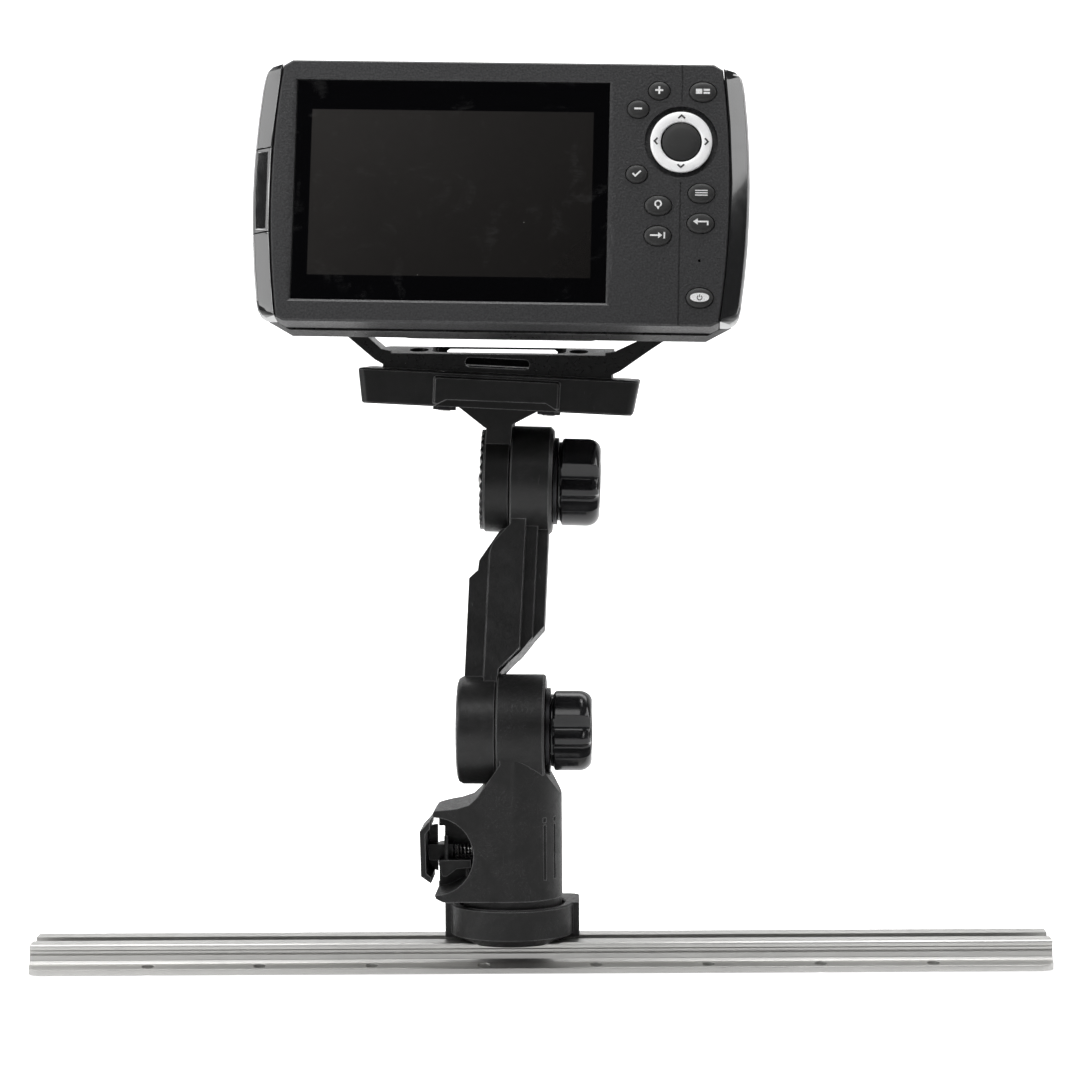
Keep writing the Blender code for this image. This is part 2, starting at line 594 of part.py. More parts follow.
def mount_plate():
    """Drafted top plate with a raised front rib, a gusset and the toothed clutch disc."""
    def sides(inset, z):
        half = PLATE_HALF_BOTTOM + (PLATE_HALF_TOP - PLATE_HALF_BOTTOM) * (z - PLATE_BOTTOM) / (
            PLATE_TOP - PLATE_BOTTOM)
        outline = rounded(PLATE_X - half + inset, PLATE_X + half - inset, PLATE_FRONT + inset,
                          PLATE_REAR - inset, 3.0, count=4)
        return loop_on("Z", outline, z)
    loops = [sides(0.5, PLATE_BOTTOM), sides(0, PLATE_BOTTOM + 0.5), sides(0, PLATE_TOP - 0.6),
             sides(0.6, PLATE_TOP)]
    plate = add_part("mount_plate", "plate_frame", lofted(loops), NYLON)
    ribs = [rounded(PLATE_X - 25.2 + inset, PLATE_X + 24.6 - inset, 30.5, 41.4 - inset, 0.2, 0.9, 3)
            for inset in (0.0, 0.0, 0.8)]
    depths = (PLATE_FRONT + 2, PLATE_FRONT - 0.7, PLATE_FRONT - 1.5)
    join(plate, lofted([loop_on("Y", rib, y) for rib, y in zip(ribs, depths)]))
    notch = [(PLATE_X - 25.1, 28.0), (PLATE_X - 25.1, 29.4), (PLATE_X - 20.1, 32.2), (PLATE_X + 19.3, 32.6),
             (PLATE_X + 24.5, 29.5), (PLATE_X + 24.5, 28.0)]
    cut(plate, prism("Y", notch, PLATE_FRONT - 3, PLATE_FRONT + 5))
    pockets = [rounded(PLATE_X + side * 37.5 - 12.5, PLATE_X + side * 37.5 + 12.5, PLATE_FRONT + 4,
                       PLATE_REAR - 4, 2.0, count=3) for side in (-1, 1)]
    cut(plate, merged(*[prism("Z", pocket, PLATE_BOTTOM - 2, 39.0) for pocket in pockets]))
    gusset = [(-24.5, 31.0), (-24.5, 30.6), (-11.0, 21.0), (-1.0, 21.2), (-0.2, 22.8), (12.5, 30.2),
              (12.5, 31.0)]
    join(plate, prism("Y", gusset, -15.0, 15.0))
    disc = [(0, -10.6), (UPPER_DISC - 0.6, -10.6), (UPPER_DISC, -10.0), (UPPER_DISC, -0.6),
            (UPPER_DISC - 0.5, -0.15), (0, -0.15)]
    join(plate, prism("Y", rectangle(-10.55, -0.2, 10.0, 30.0), -15.0, 15.0))
    cut(plate, rod("X", ARM_EAR + 0.7, 0.0, 20, count=40), "upper_joint")
    join(plate, turned("X", disc, 40), "upper_joint")
    join(plate, tooth_ring(), "upper_joint")
    cut(plate, rod("X", BOLT_BORE, -20, 5), "upper_joint")
    spots = [(BRACKET_X + side * SCREW_SPREAD, SCREW_Y) for side in (-1, 1)]
    cut(plate, merged(*[rod("Z", 2.8, 20, 50, spot, 12) for spot in spots]))
    cut(plate, merged(*[rod("Z", 5.4, 20, NUT_SEAT, spot, 12) for spot in spots]))


def tooth_ring(teeth=32):
    """Serrated ring on the outer face of the clutch disc."""
    def height(i):
        return -12.2 if i % 2 else -11.2
    count = 2 * teeth
    inner, outer = circle(13.5, count), circle(20.2, count)
    loops = [[(-10.0, *p) for p in inner], [(-10.0, *p) for p in outer],
             [(height(i), *p) for i, p in enumerate(outer)], [(height(i), *p) for i, p in enumerate(inner)]]
    return lofted(loops, closed=True)


def plate_screw(name, side):
    x, y = BRACKET_X + side * SCREW_SPREAD, SCREW_Y
    profile = [(0, 27.4), (2.4, 27.4), (2.4, 46.4), (4.4, 46.4), (4.2, 48.0), (2.6, 49.4), (0, 49.7)]
    add_part(name, "plate_frame", turned("Z", profile, 14, (x, y)), STEEL)


def gimbal_bracket():
    """Wide U: a hollow base on the plate and two arms that end in eyes at the head's pivot."""
    def crest(x):
        return 49.7 + (x + 40.0) * 0.037
    def section(x):
        z = crest(x)
        return [(x, BRACKET_FRONT, BRACKET_BOTTOM), (x, BRACKET_FRONT, z), (x, BRACKET_FRONT + 13, z + 2.5),
                (x, BRACKET_REAR, z + 2.5), (x, BRACKET_REAR, BRACKET_BOTTOM)]
    left, right = BRACKET_X - BRACKET_HALF, BRACKET_X + BRACKET_HALF
    base = lofted([section(left), section(BRACKET_X), section(right)])
    bracket = add_part("gimbal_bracket", "plate_frame", base, NYLON)
    to_head = FRAMES["plate_frame"][1].inverted() @ FRAMES["head_pivot"][1]
    for side in (-1, 1):
        eye = (to_head @ (Vector((side * EYE_X, 0, 0)) * MM)) / MM
        join(bracket, bracket_arm(side, eye, crest(BRACKET_X + side * BRACKET_HALF)))
        eye_disc = rod("X", EYE_RADIUS, side * EYE_X - EYE_HALF_THICKNESS,
                       side * EYE_X + EYE_HALF_THICKNESS, count=32)
        join(bracket, eye_disc, "head_pivot")
    for side in (-1, 1):
        cut(bracket, rod("X", 3.4, side * EYE_X - 5, side * EYE_X + 5), "head_pivot")
    pocket = rounded(BRACKET_X - 26.5, BRACKET_X + 26.5, BRACKET_FRONT + 3, BRACKET_REAR - 3, 3.0, count=4)
    cut(bracket, prism("Z", pocket, 46.0, 60.0))
    low, high = BRACKET_X - 22.3, BRACKET_X + 22.3
    window = [(low, 49.4), (high, 49.4), (high, crest(high) + 1.0), (high - 1.2, crest(high) + 1.7),
              (low + 1.2, crest(low) + 1.7), (low, crest(low) + 1.0)]
    cut(bracket, prism("Y", window, BRACKET_REAR - 5, BRACKET_REAR + 2))
    slot = rounded(BRACKET_X - 12.8, BRACKET_X + 12.6, 45.4, 49.2, 1.5, count=3)
    cut(bracket, prism("Y", slot, BRACKET_FRONT - 2, BRACKET_FRONT + 5))
    for side in (-1, 1):
        cut(bracket, rod("Z", 2.7, 40, 50, (BRACKET_X + side * SCREW_SPREAD, SCREW_Y)))
        cut(bracket, rod("Z", 3.9, 40, 60, (BRACKET_X + side * 31.6, BRACKET_FRONT + 7)))


def bracket_arm(side, eye, top):
    """Tapering strap from the end of the base up to an eye."""
    def strap(x_out, z_low, x_in, z_high, front, rear):
        return [(x_out, front, z_low), (x_in, front, z_high), (x_in, rear, z_high), (x_out, rear, z_low)]
    root = BRACKET_X + side * (BRACKET_HALF - 3.0)
    front, rear = eye.y - ARM_HALF_WIDTH, eye.y + ARM_HALF_WIDTH
    lean = (eye.x - BRACKET_X) / side - EYE_X
    def out(distance):
        return BRACKET_X + side * (distance + lean * 0.6)
    loops = [strap(root, BRACKET_BOTTOM, root, top + 1.0, BRACKET_FRONT, BRACKET_REAR - 4),
             strap(out(48.5), BRACKET_BOTTOM + 3.2, out(46.0), top + 1.6, BRACKET_FRONT, BRACKET_REAR - 6),
             strap(out(60.0), 55.5, out(57.0), 60.0, front, rear + 6),
             strap(out(72.5), 64.6, out(68.6), 67.8, front, rear + 2),
             strap(out(80.2), 73.5, out(75.6), 75.2, front, rear),
             strap(eye.x + side * 1.9, eye.z - 18, eye.x - side * 1.9, eye.z - 18, front, rear),
             strap(eye.x + side * 1.9, eye.z, eye.x - side * 1.9, eye.z, front, rear)]
    return lofted(loops)


def gimbal_knob(name, side):
    """Fluted thumb knob with its stud screwed into the housing's boss."""
    start = EYE_X + EYE_HALF_THICKNESS + GAP
    stations = [(start, 10.0, 0.0), (start + 1.2, 10.0, 0.0), (start + 1.6, 11.5, 1.6),
                (start + 8.6, 11.2, 1.6), (start + 10.0, 9.6, 1.2)]
    loops = [loop_on("X", lobed(radius, 6, depth, 0.0), side * x) for x, radius, depth in stations]
    knob = add_part(name, "head_pivot", lofted(loops), KNOB_BLACK)
    ends = sorted((side * 71.5, side * (start + 2)))
    join(knob, rod("X", 2.9, *ends, count=16))


def gimbal_washer(name, side):
    ends = sorted((side * 77.4, side * 78.5))
    profile = [(3.4, ends[0]), (10.0, ends[0]), (10.0, ends[1]), (3.4, ends[1])]
    add_part(name, "head_pivot", turned("X", profile, 20), RUBBER)


# ---------------------------------------------------------------- display head, front

def seam(z):
    """Half width of the bezel at a height."""
    return bow(85.0, 88.4, -49.2, 50.4, z)


def silhouette(z):
    """Half width over the side trims at a height."""
    return bow(92.6, 96.2, -48.2, 51.4, z)


def bezel_outline(inset):
    """Bulging sides between cut corners, drawn in by `inset`."""
    low, high = -49.2 + inset * 0.6, 50.4 - inset * 0.6
    heights = [low + (high - low) * i / 12 for i in range(13)]
    up = [(seam(z) - inset, z) for z in heights]
    top = [(81.6 - inset * 0.4, BEZEL_TOP - inset)]
    bottom = [(82.0 - inset * 0.4, BEZEL_BOTTOM + inset)]
    right = bottom + up + top
    return right + [(-x, z) for x, z in reversed(right)]


def front_bezel():
    """Front shell with the glass pocket, key holes, cursor recess and screw bosses."""
    loops = [loop_on("Y", bezel_outline(inset), y) for y, inset in ((0, 0.7), (0.7, 0), (BEZEL_DEPTH, 0))]
    bezel = add_part("front_bezel", "head_frame", lofted(loops), BEZEL_GREY)
    cut(bezel, prism("Y", bezel_outline(BEZEL_WALL), FACE, BEZEL_DEPTH + 2))
    glass = [(SCREEN_X - GLASS_HALF_WIDTH - GAP,) * 2, (SCREEN_X + GLASS_HALF_WIDTH + GAP,) * 2]
    low, high = GLASS_LOW - GAP, GLASS_HIGH + GAP
    rim = bowed((-80.9, -83.2), (43.0, 44.6), low - 1.0, high + 0.8)
    seat = bowed(*glass, low, high)
    grown = bowed((-84.1, -86.4), (45.4, 47.0), low - 3.4, high + 3.2)
    cut(bezel, lofted([loop_on("Y", grown, -1.7), loop_on("Y", rim, -0.01), loop_on("Y", seat, 0.7),
                       loop_on("Y", seat, 2.1)]))
    cut(bezel, prism("Y", rounded(SCREEN_X - 56.5, SCREEN_X + 56.5, -35.0, 35.6, 1.5, count=3), 1, 5))
    holes = [prism("Y", ellipse(w, h, 16, (x, z)), -1, 5) for x, z, w, h in KEYS.values()]
    holes.append(rod("Y", 4.0, 1.5, 5, (CURSOR_X, CURSOR_Z), 20))
    holes.append(rod("Y", 0.6, -1, 5, (77.2, -25.1), 10))
    cut(bezel, merged(*holes))
    cut(bezel, rod("Y", CURSOR_RECESS, -1, 2.3, (CURSOR_X, CURSOR_Z), 40))
    cut(bezel, merged(*[prism("Y", rectangle(69.15, 69.75, z0, z1), -1, 0.5)
                        for z0, z1 in ((BEZEL_BOTTOM - 1, CURSOR_Z - 16.0), (CURSOR_Z + 16.0, BEZEL_TOP + 1))]))
    for x, z, radius in BOSSES.values():
        join(bezel, rod("Y", radius, FACE - 0.5, BEZEL_DEPTH, (x, z), 16))
    cut(bezel, merged(*[rod("Y", 1.5, FACE + 1.0, BEZEL_DEPTH + 2, (x, z), 12) for x, z, _ in BOSSES.values()]))


def trim_section(side, z, shrink, rear=BEZEL_DEPTH, start=0.3):
    """Cross-section of a side trim: flat against the bezel, then a wide slope to the silhouette."""
    inner, outer = seam(z) + GAP, silhouette(z) - shrink
    span = outer - inner
    points = [(inner, start), (inner + 0.1 * span, start + 0.1), (inner + 0.86 * span, start + 4.4),
              (outer, 7.6), (outer, rear - 1.2), (outer - 1.2, rear), (inner, rear)]
    return [(side * x, y, z) for x, y in points]


def trim(name, side):
    stations = [(-48.8, 3.0), (-47.6, 1.2), (-45.5, 0.3)] + [(-42.0 + 12.0 * i, 0.0) for i in range(8)]
    stations += [(46.5, 0.2), (49.0, 0.6), (50.8, 2.2)]
    loops = [trim_section(side, z, shrink) for z, shrink in stations]
    return add_part(name, "head_frame", lofted(loops), GLOSS_BLACK)


def side_trims():
    left = trim("trim_left", -1)
    door = prism("Z", rectangle(-110, -80, -5, DOOR_DEPTH + GAP), DOOR_LOW - GAP, DOOR_HIGH + GAP)
    cut(left, door)
    trim("trim_right", 1)


def card_door():
    """Door over the memory card slot, a length of the left trim hinged at its back edge."""
    heights = [DOOR_LOW + (DOOR_HIGH - DOOR_LOW) * i / 4 for i in range(5)]
    offset = (-95.2, DOOR_DEPTH - 0.6)
    loops = []
    for z in heights:
        section = trim_section(-1, z, 0.0, DOOR_DEPTH)
        loops.append([(x - offset[0], y - offset[1], z) for x, y, _ in section])
    door = add_part("card_door", "door_hinge", lofted(loops), GLOSS_BLACK)
    notch = [(0.3, -4.25), (0.3, -10.0), (5.0, -10.0), (5.0, -5.2)]
    cut(door, prism("Z", notch, DOOR_LOW + 1.5, DOOR_HIGH - 1.5))


def screen():
    pane = rectangle(SCREEN_X - GLASS_HALF_WIDTH, SCREEN_X + GLASS_HALF_WIDTH, GLASS_LOW, GLASS_HIGH)
    add_part("screen_glass", "head_frame", prism("Y", pane, 0.6, 1.8), GLOSS_BLACK)
    panel = rounded(SCREEN_X - 58.5, SCREEN_X + 58.5, -36.6, 37.2, 1.0, count=3)
    lcd = add_part("lcd_panel", "head_frame", prism("Y", panel, FACE + GAP, 8.4), PANEL_DARK)
    step = rounded(SCREEN_X - 55.5, SCREEN_X + 55.5, -34.0, 34.6, 1.0, count=3)
    join(lcd, prism("Y", step, 2.2, FACE + 1))


def keypad():
    mat = rounded(47.5, 83.4, -44.0, 44.3, 3.0, count=3)
    add_part("keypad_mat", "head_frame", prism("Y", mat, 5.7, 6.7), RUBBER)
    for name, (_, _, width, height) in KEYS.items():
        stations = [(-1.3, -4.2), (-1.15, -2.2), (-0.7, -1.0), (0.2, -0.7), (FACE + 0.3, -0.7),
                    (FACE + 0.3, 0.9), (FACE + 1.1, 0.9)]
        loops = [loop_on("Y", ellipse(width + grow, height + grow, 12), y) for y, grow in stations]
        add_part(name, name + "_axis", lofted(loops), RUBBER)


def cursor():
    """Four-way cursor: a hub that rocks up and down carries a ring that rocks sideways."""
    hub = [(0, -2.6), (4.5, -2.45), (6.9, -2.0), (7.4, -1.4), (7.4, -0.1), (3.1, -0.1), (3.1, 3.6), (0, 3.6)]
    add_part("cursor_hub", "cursor_pivot", turned("Y", hub, 20), RUBBER)
    ring = [(7.9, -0.2), (7.9, -1.9), (8.4, -2.3), (11.2, -2.2), (11.9, -1.7), (11.9, -0.2)]
    add_part("cursor_ring", "cursor_pivot", turned("Y", ring, 32), SILVER_WHITE)


# ---------------------------------------------------------------- display head, inside and rear

def electronics():
    board = rounded(-75.5, 82.0, -43.0, 43.0, 2.0, count=3)
    add_part("circuit_board", "head_frame", prism("Y", board, 9.6, 11.2), BOARD_GREEN)
    antenna = rectangle(30, 55, 8, 33)
    add_part("gps_antenna", "head_frame", prism("Y", antenna, 11.5, 15.5), SILVER_WHITE)
    cone = [(0, 49.6), (15.0, 49.6), (15.0, 46.0), (9.0, 43.0), (0, 43.0)]
    add_part("speaker", "head_frame", turned("Y", cone, 24, (24.0, -4.0)), RUBBER)


def housing_seal():
    """Flat rubber gasket between the front shell and the rear housing."""
    outer, inner = bezel_outline(0.7), bezel_outline(2.3)
    low, high = BEZEL_DEPTH + GAP, BEZEL_DEPTH + GAP + SEAL_THICKNESS
    loops = [loop_on("Y", outer, low), loop_on("Y", outer, high), loop_on("Y", inner, high),
             loop_on("Y", inner, low)]
    add_part("housing_seal", "head_frame", lofted(loops, closed=True), RUBBER)


def rear_housing():
    """Shallow tray that closes the front shell, with a rounded hump that holds the pivots."""
    def outline(y, half, low, high, low_corner, high_corner):
        return loop_on("Y", rounded(-half, half, low, high, low_corner, high_corner, 6), y)
    def tray(y, half, low, high, across=9.6, up=5.4):
        cuts = [(half - across * (5 - i) / 5, low + up * i / 5) for i in range(6)]
        top = rounded(-half, half, low, high, 6, 6, 6)[6:18]
        return loop_on("Y", cuts + top + [(-x, z) for x, z in reversed(cuts)], y)
    outside = [outline(HOUSING_DEPTH, 49.5, -32.0, 32.0, 19, 13),
               outline(HOUSING_DEPTH - 0.8, 51.0, -33.5, 33.5, 20, 14),
               outline(48.5, 60.0, -42.0, 41.0, 28, 18), outline(39.0, 67.0, -48.4, 46.5, 33, 20),
               outline(30.0, 69.4, -50.8, 48.5, 34, 20), outline(TRAY_DEPTH + 0.4, 70.2, -51.6, 49.0, 34, 20),
               tray(TRAY_DEPTH, 88.8, -52.0, 49.4), tray(20.2, 89.8, -52.6, 50.2),
               tray(TRAY_FRONT, 90.5, -51.4, 50.8)]
    inside = [tray(TRAY_FRONT, 88.3, -49.4, 48.6), tray(18.6, 88.0, -50.2, 48.0),
              outline(19.0, 68.0, -49.4, 46.6, 32, 18), outline(29.8, 67.0, -48.4, 46.1, 32, 18),
              outline(38.2, 64.5, -46.0, 44.1, 31, 18), outline(47.4, 57.6, -39.6, 38.6, 26, 16),
              outline(HOUSING_DEPTH - 2.5, 47.5, -30.0, 30.0, 17, 12)]
    housing = add_part("rear_housing", "head_frame", lofted(outside + inside), NYLON)
    centre = (PIVOT_DEPTH, 0.0)
    for side in (-1, 1):
        join(housing, rod("X", 12.0, *sorted((side * 62.0, side * 77.1)), centre, 32))
    for side in (-1, 1):
        cut(housing, rod("X", 3.2, *sorted((side * 60.0, side * 79.0)), centre, 16))
    cut(housing, merged(*[rod("Y", 7.4, 45, 60, (x, SOCKET_Z), 24) for x in SOCKET_X]))
    cut(housing, merged(*[rod("Y", 1.8, 14, 24, (x, z), 8) for x, z, _ in BOSSES.values()]))
    cut(housing, merged(*[rod("Y", 3.1, SCREW_SEAT, 24, (x, z), 12) for x, z, _ in BOSSES.values()]))


def socket(name, x):
    """Cable socket: outer collar, neck through the back wall and an open bore."""
    profile = [(0, 46.5), (7.0, 46.5), (7.0, HOUSING_DEPTH + GAP), (9.4, HOUSING_DEPTH + GAP),
               (9.4, 56.6), (8.8, 57.4), (5.4, 57.4), (5.4, 48.6), (0, 48.6)]
    piece = add_part(name, "head_frame", turned("Y", profile, 20, (x, SOCKET_Z)), RUBBER)
    join(piece, rod("Y", 1.1, 47.5, 54.5, (x, SOCKET_Z), 10))


def housing_screws():
    for name, (x, z, _) in BOSSES.items():
        profile = [(0, 5.4), (1.3, 5.4), (1.3, SCREW_SEAT + GAP), (2.7, SCREW_SEAT + GAP),
                   (2.6, SCREW_SEAT + 1.6), (1.6, SCREW_SEAT + 2.3), (0, SCREW_SEAT + 2.5)]
        add_part(name, "head_frame", turned("Y", profile, 10, (x, z)), STEEL)


# ---------------------------------------------------------------- assembly

def build_mount():
    track_rail()
    track_base()
    for name, side in (("left", -1), ("right", 1)):
        t_bolt("t_bolt_" + name, side * T_BOLT_X)
        hex_nut("t_nut_" + name, "base_frame", "Z", (side * T_BOLT_X, 0), CUP_FLOOR + GAP, 18.6)
    detent_ring()
    retaining_ring()
    post_body()
    trigger()
    coil("trigger_spring", "post_frame", -19.0, -15.2, 2.6, 0.45, 4, STEM_CENTRE, STEEL)
    lock_catch()
    clutch_arm()
    lower_bolt()
    washer("lower_washer", "lower_joint", 19.6, 17.0)
    clutch_knob("lower_knob", "lower_joint", 21.5, 16.2, 16.1, LOWER_RIB)
    knob_insert("lower_knob_insert", "lower_joint", 21.7)
    upper_bolt()
    washer("upper_washer", "upper_joint", 17.3, 17.6)
    clutch_knob("upper_knob", "upper_joint", 19.2, 16.7, 17.85, UPPER_RIB)
    knob_insert("upper_knob_insert", "upper_joint", 19.4)
    mount_plate()
    for name, side in (("left", -1), ("right", 1)):
        plate_screw("plate_screw_" + name, side)
        hex_nut("plate_nut_" + name, "plate_frame", "Z", (BRACKET_X + side * SCREW_SPREAD, SCREW_Y),
                NUT_SEAT - 4.2, NUT_SEAT - GAP, 4.6, 2.6, BLACK_STEEL)
    gimbal_bracket()
    for name, side in (("left", -1), ("right", 1)):
        gimbal_knob("gimbal_knob_" + name, side)
        gimbal_washer("gimbal_washer_" + name, side)


def build_head():
    front_bezel()
    side_trims()
    card_door()
    screen()
    keypad()
    cursor()
    electronics()
    housing_seal()
    rear_housing()
    socket("power_socket", SOCKET_X[0])
    socket("sonar_socket", SOCKET_X[1])
    housing_screws()


def main():
    for obj in list(bpy.data.objects):
        bpy.data.objects.remove(obj, do_unlink=True)
    make_frames()
    build_mount()
    build_head()
    bpy.context.view_layer.update()


main()
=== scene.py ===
import json
import math

import bmesh
import bpy
from mathutils import Matrix, Vector


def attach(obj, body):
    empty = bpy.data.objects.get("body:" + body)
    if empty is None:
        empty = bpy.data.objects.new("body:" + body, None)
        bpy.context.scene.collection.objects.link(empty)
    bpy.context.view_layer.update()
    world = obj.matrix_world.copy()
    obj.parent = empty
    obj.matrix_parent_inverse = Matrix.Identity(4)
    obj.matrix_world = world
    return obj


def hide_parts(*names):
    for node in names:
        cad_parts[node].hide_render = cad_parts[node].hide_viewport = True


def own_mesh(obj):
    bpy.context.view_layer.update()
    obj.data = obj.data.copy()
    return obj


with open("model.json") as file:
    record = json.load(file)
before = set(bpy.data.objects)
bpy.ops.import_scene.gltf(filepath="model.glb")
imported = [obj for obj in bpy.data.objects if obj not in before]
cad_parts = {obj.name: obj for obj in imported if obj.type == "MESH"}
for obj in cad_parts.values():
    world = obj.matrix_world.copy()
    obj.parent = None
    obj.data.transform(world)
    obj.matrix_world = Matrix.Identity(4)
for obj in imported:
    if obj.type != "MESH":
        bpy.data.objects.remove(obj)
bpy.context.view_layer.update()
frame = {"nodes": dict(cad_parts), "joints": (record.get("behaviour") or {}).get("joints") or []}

MM = 0.001
JOINTS = {joint["name"]: joint for joint in frame["joints"]}


# ---------------------------------------------------------------- frames read from the record

def axes(origin, x=None, y=None, z=None):
    """Matrix of a frame, in metres, from its origin and two of its axes."""
    if z is None:
        z = Vector(x).cross(Vector(y))
    if y is None:
        y = Vector(z).cross(Vector(x))
    x = Vector(y).cross(Vector(z))
    columns = [v.normalized() for v in (Vector(x), Vector(y), Vector(z))]
    matrix = Matrix(columns).transposed().to_4x4()
    matrix.translation = Vector(origin)
    return matrix


def joint_frame(name, x, **other):
    """Frame at a joint's own place."""
    return axes(JOINTS[name]["pos_m"], x=x, **other)


HEAD_X = Vector(JOINTS["head_tilt"]["axis"])
HEAD_Y = Vector(JOINTS["key_menu_press"]["axis"])
PIVOT_BEHIND_FACE = 0.038       # metres from the display's face back to its tilt axis
PIVOT = axes(JOINTS["head_tilt"]["pos_m"], x=HEAD_X, y=HEAD_Y)
HEAD = axes(PIVOT.translation - PIVOT_BEHIND_FACE * HEAD_Y, x=HEAD_X, y=HEAD_Y)
POST = joint_frame("trigger_pull", JOINTS["trigger_pull"]["axis"], z=JOINTS["catch_lift"]["axis"])
LOWER = joint_frame("lower_knob_spin", JOINTS["lower_knob_spin"]["axis"], y=POST.col[1].to_3d())
UPPER = joint_frame("upper_knob_spin", JOINTS["upper_knob_spin"]["axis"], y=POST.col[1].to_3d())
CURSOR = axes(JOINTS["cursor_rock_vertical"]["pos_m"], x=HEAD_X, y=HEAD_Y)


def local_box(node, matrix):
    """Lowest and highest corner of a CAD node in a frame, in millimetres."""
    inverse = matrix.inverted()
    points = [inverse @ v.co / MM for v in frame["nodes"][node].data.vertices]
    low = Vector([min(p[i] for p in points) for i in range(3)])
    high = Vector([max(p[i] for p in points) for i in range(3)])
    return low, high


# ---------------------------------------------------------------- shader helpers

MIX_A, MIX_B, MIX_COLOUR = 6, 7, 2      # colour sockets of the Mix node


class Shader:
    """A node material built one call at a time; inputs are named, or numbered as i0, i1."""

    def __init__(self, name):
        self.material = bpy.data.materials.new(name)
        self.material.use_nodes = True
        self.tree = self.material.node_tree
        self.bsdf = self.tree.nodes["Principled BSDF"]

    def add(self, kind, settings=None, **inputs):
        node = self.tree.nodes.new("ShaderNode" + kind)
        for key, value in (settings or {}).items():
            setattr(node, key, value)
        self.fill(node, inputs)
        return node

    def fill(self, node, inputs):
        for key, value in inputs.items():
            by_number = key[0] == "i" and key[1:].isdigit()
            socket = node.inputs[int(key[1:]) if by_number else key.replace("_", " ")]
            if isinstance(value, bpy.types.NodeSocket):
                self.tree.links.new(value, socket)
            else:
                socket.default_value = value

    def surface(self, **inputs):
        self.fill(self.bsdf, inputs)
        return self.material

    def coords(self, matrix=None, scale=(1, 1, 1)):
        """Position on the piece at rest in millimetres, in a frame, stretched by scale."""
        source = self.add("TexCoord").outputs["Object"]
        inverse = (matrix or Matrix.Identity(4)).inverted()
        placed = self.add("Mapping", Vector=source, Scale=(1000, 1000, 1000),
                          Rotation=inverse.to_euler(), Location=inverse.translation / MM).outputs[0]
        return self.add("Mapping", Vector=placed, Scale=scale).outputs[0]

    def noise(self, vector, scale, detail=3.0, rough=0.55, distortion=0.0):
        node = self.add("TexNoise", Vector=vector, Scale=scale, Detail=detail, Roughness=rough,
                        Distortion=distortion)
        return node.outputs["Fac"]

    def ramp(self, value, low, high, to_low=0.0, to_high=1.0):
        node = self.add("MapRange", {"clamp": True}, Value=value, From_Min=low, From_Max=high,
                        To_Min=to_low, To_Max=to_high)
        return node.outputs[0]

    def math(self, operation, a, b=0.0):
        return self.add("Math", {"operation": operation, "use_clamp": False}, i0=a, i1=b).outputs[0]

    def mix(self, factor, a, b):
        node = self.add("Mix", {"data_type": "RGBA"})
        self.fill(node, {"i0": factor})
        for socket, value in ((node.inputs[MIX_A], a), (node.inputs[MIX_B], b)):
            if isinstance(value, bpy.types.NodeSocket):
                self.tree.links.new(value, socket)
            else:
                socket.default_value = (*value, 1.0)
        return node.outputs[MIX_COLOUR]

    def bump(self, height, depth_mm, strength=1.0, normal=None):
        node = self.add("Bump", Height=height, Distance=depth_mm * MM, Strength=strength)
        if normal is not None:
            self.tree.links.new(normal, node.inputs["Normal"])
        return node.outputs[0]

    def window(self, vector, x_low, x_high, z_low, z_high, soft=0.15):
        """1 inside a rectangle of x and z, 0 outside."""
        parts = self.add("SeparateXYZ", Vector=vector).outputs
        result = None
        for part, low, high in ((parts[0], x_low, x_high), (parts[2], z_low, z_high)):
            for start, end in ((low - soft, low + soft), (high + soft, high - soft)):
                edge = self.ramp(part, start, end)
                result = edge if result is None else self.math("MULTIPLY", result, edge)
        return result


def scratches(shader, matrix, stretch, amount):
    """Thin straggling marks, 0 to 1, denser as amount falls."""
    lines = shader.noise(shader.coords(matrix, stretch), 1.0, 4.0, 0.6, 0.6)
    patches = shader.noise(shader.coords(matrix), 0.05, 2.0)
    return shader.math("MULTIPLY", shader.ramp(lines, amount, amount + 0.06),
                       shader.ramp(patches, 0.48, 0.62))


def worn_and_highlit_edges(shader, radius_mm):
    """0 on the faces, 1 on the edges, which are painted pale grey both as handling wear and as a painted
    highlight.
    """
    rounded = shader.add("Bevel", {"samples": 6}, Radius=radius_mm * MM).outputs[0]
    true = shader.add("NewGeometry").outputs["Normal"]
    lean = shader.add("VectorMath", {"operation": "DOT_PRODUCT"}, i0=rounded, i1=true).outputs["Value"]
    return shader.ramp(lean, 0.992, 0.93)


# ---------------------------------------------------------------- materials

EDGE_WEAR_AND_HIGHLIGHT = 0.7         # how far an edge goes towards pale grey, as rubbing wear and as a painted highlight
EDGE_RADIUS = 0.6       # reach of that wear and painted highlight from the edge, in millimetres
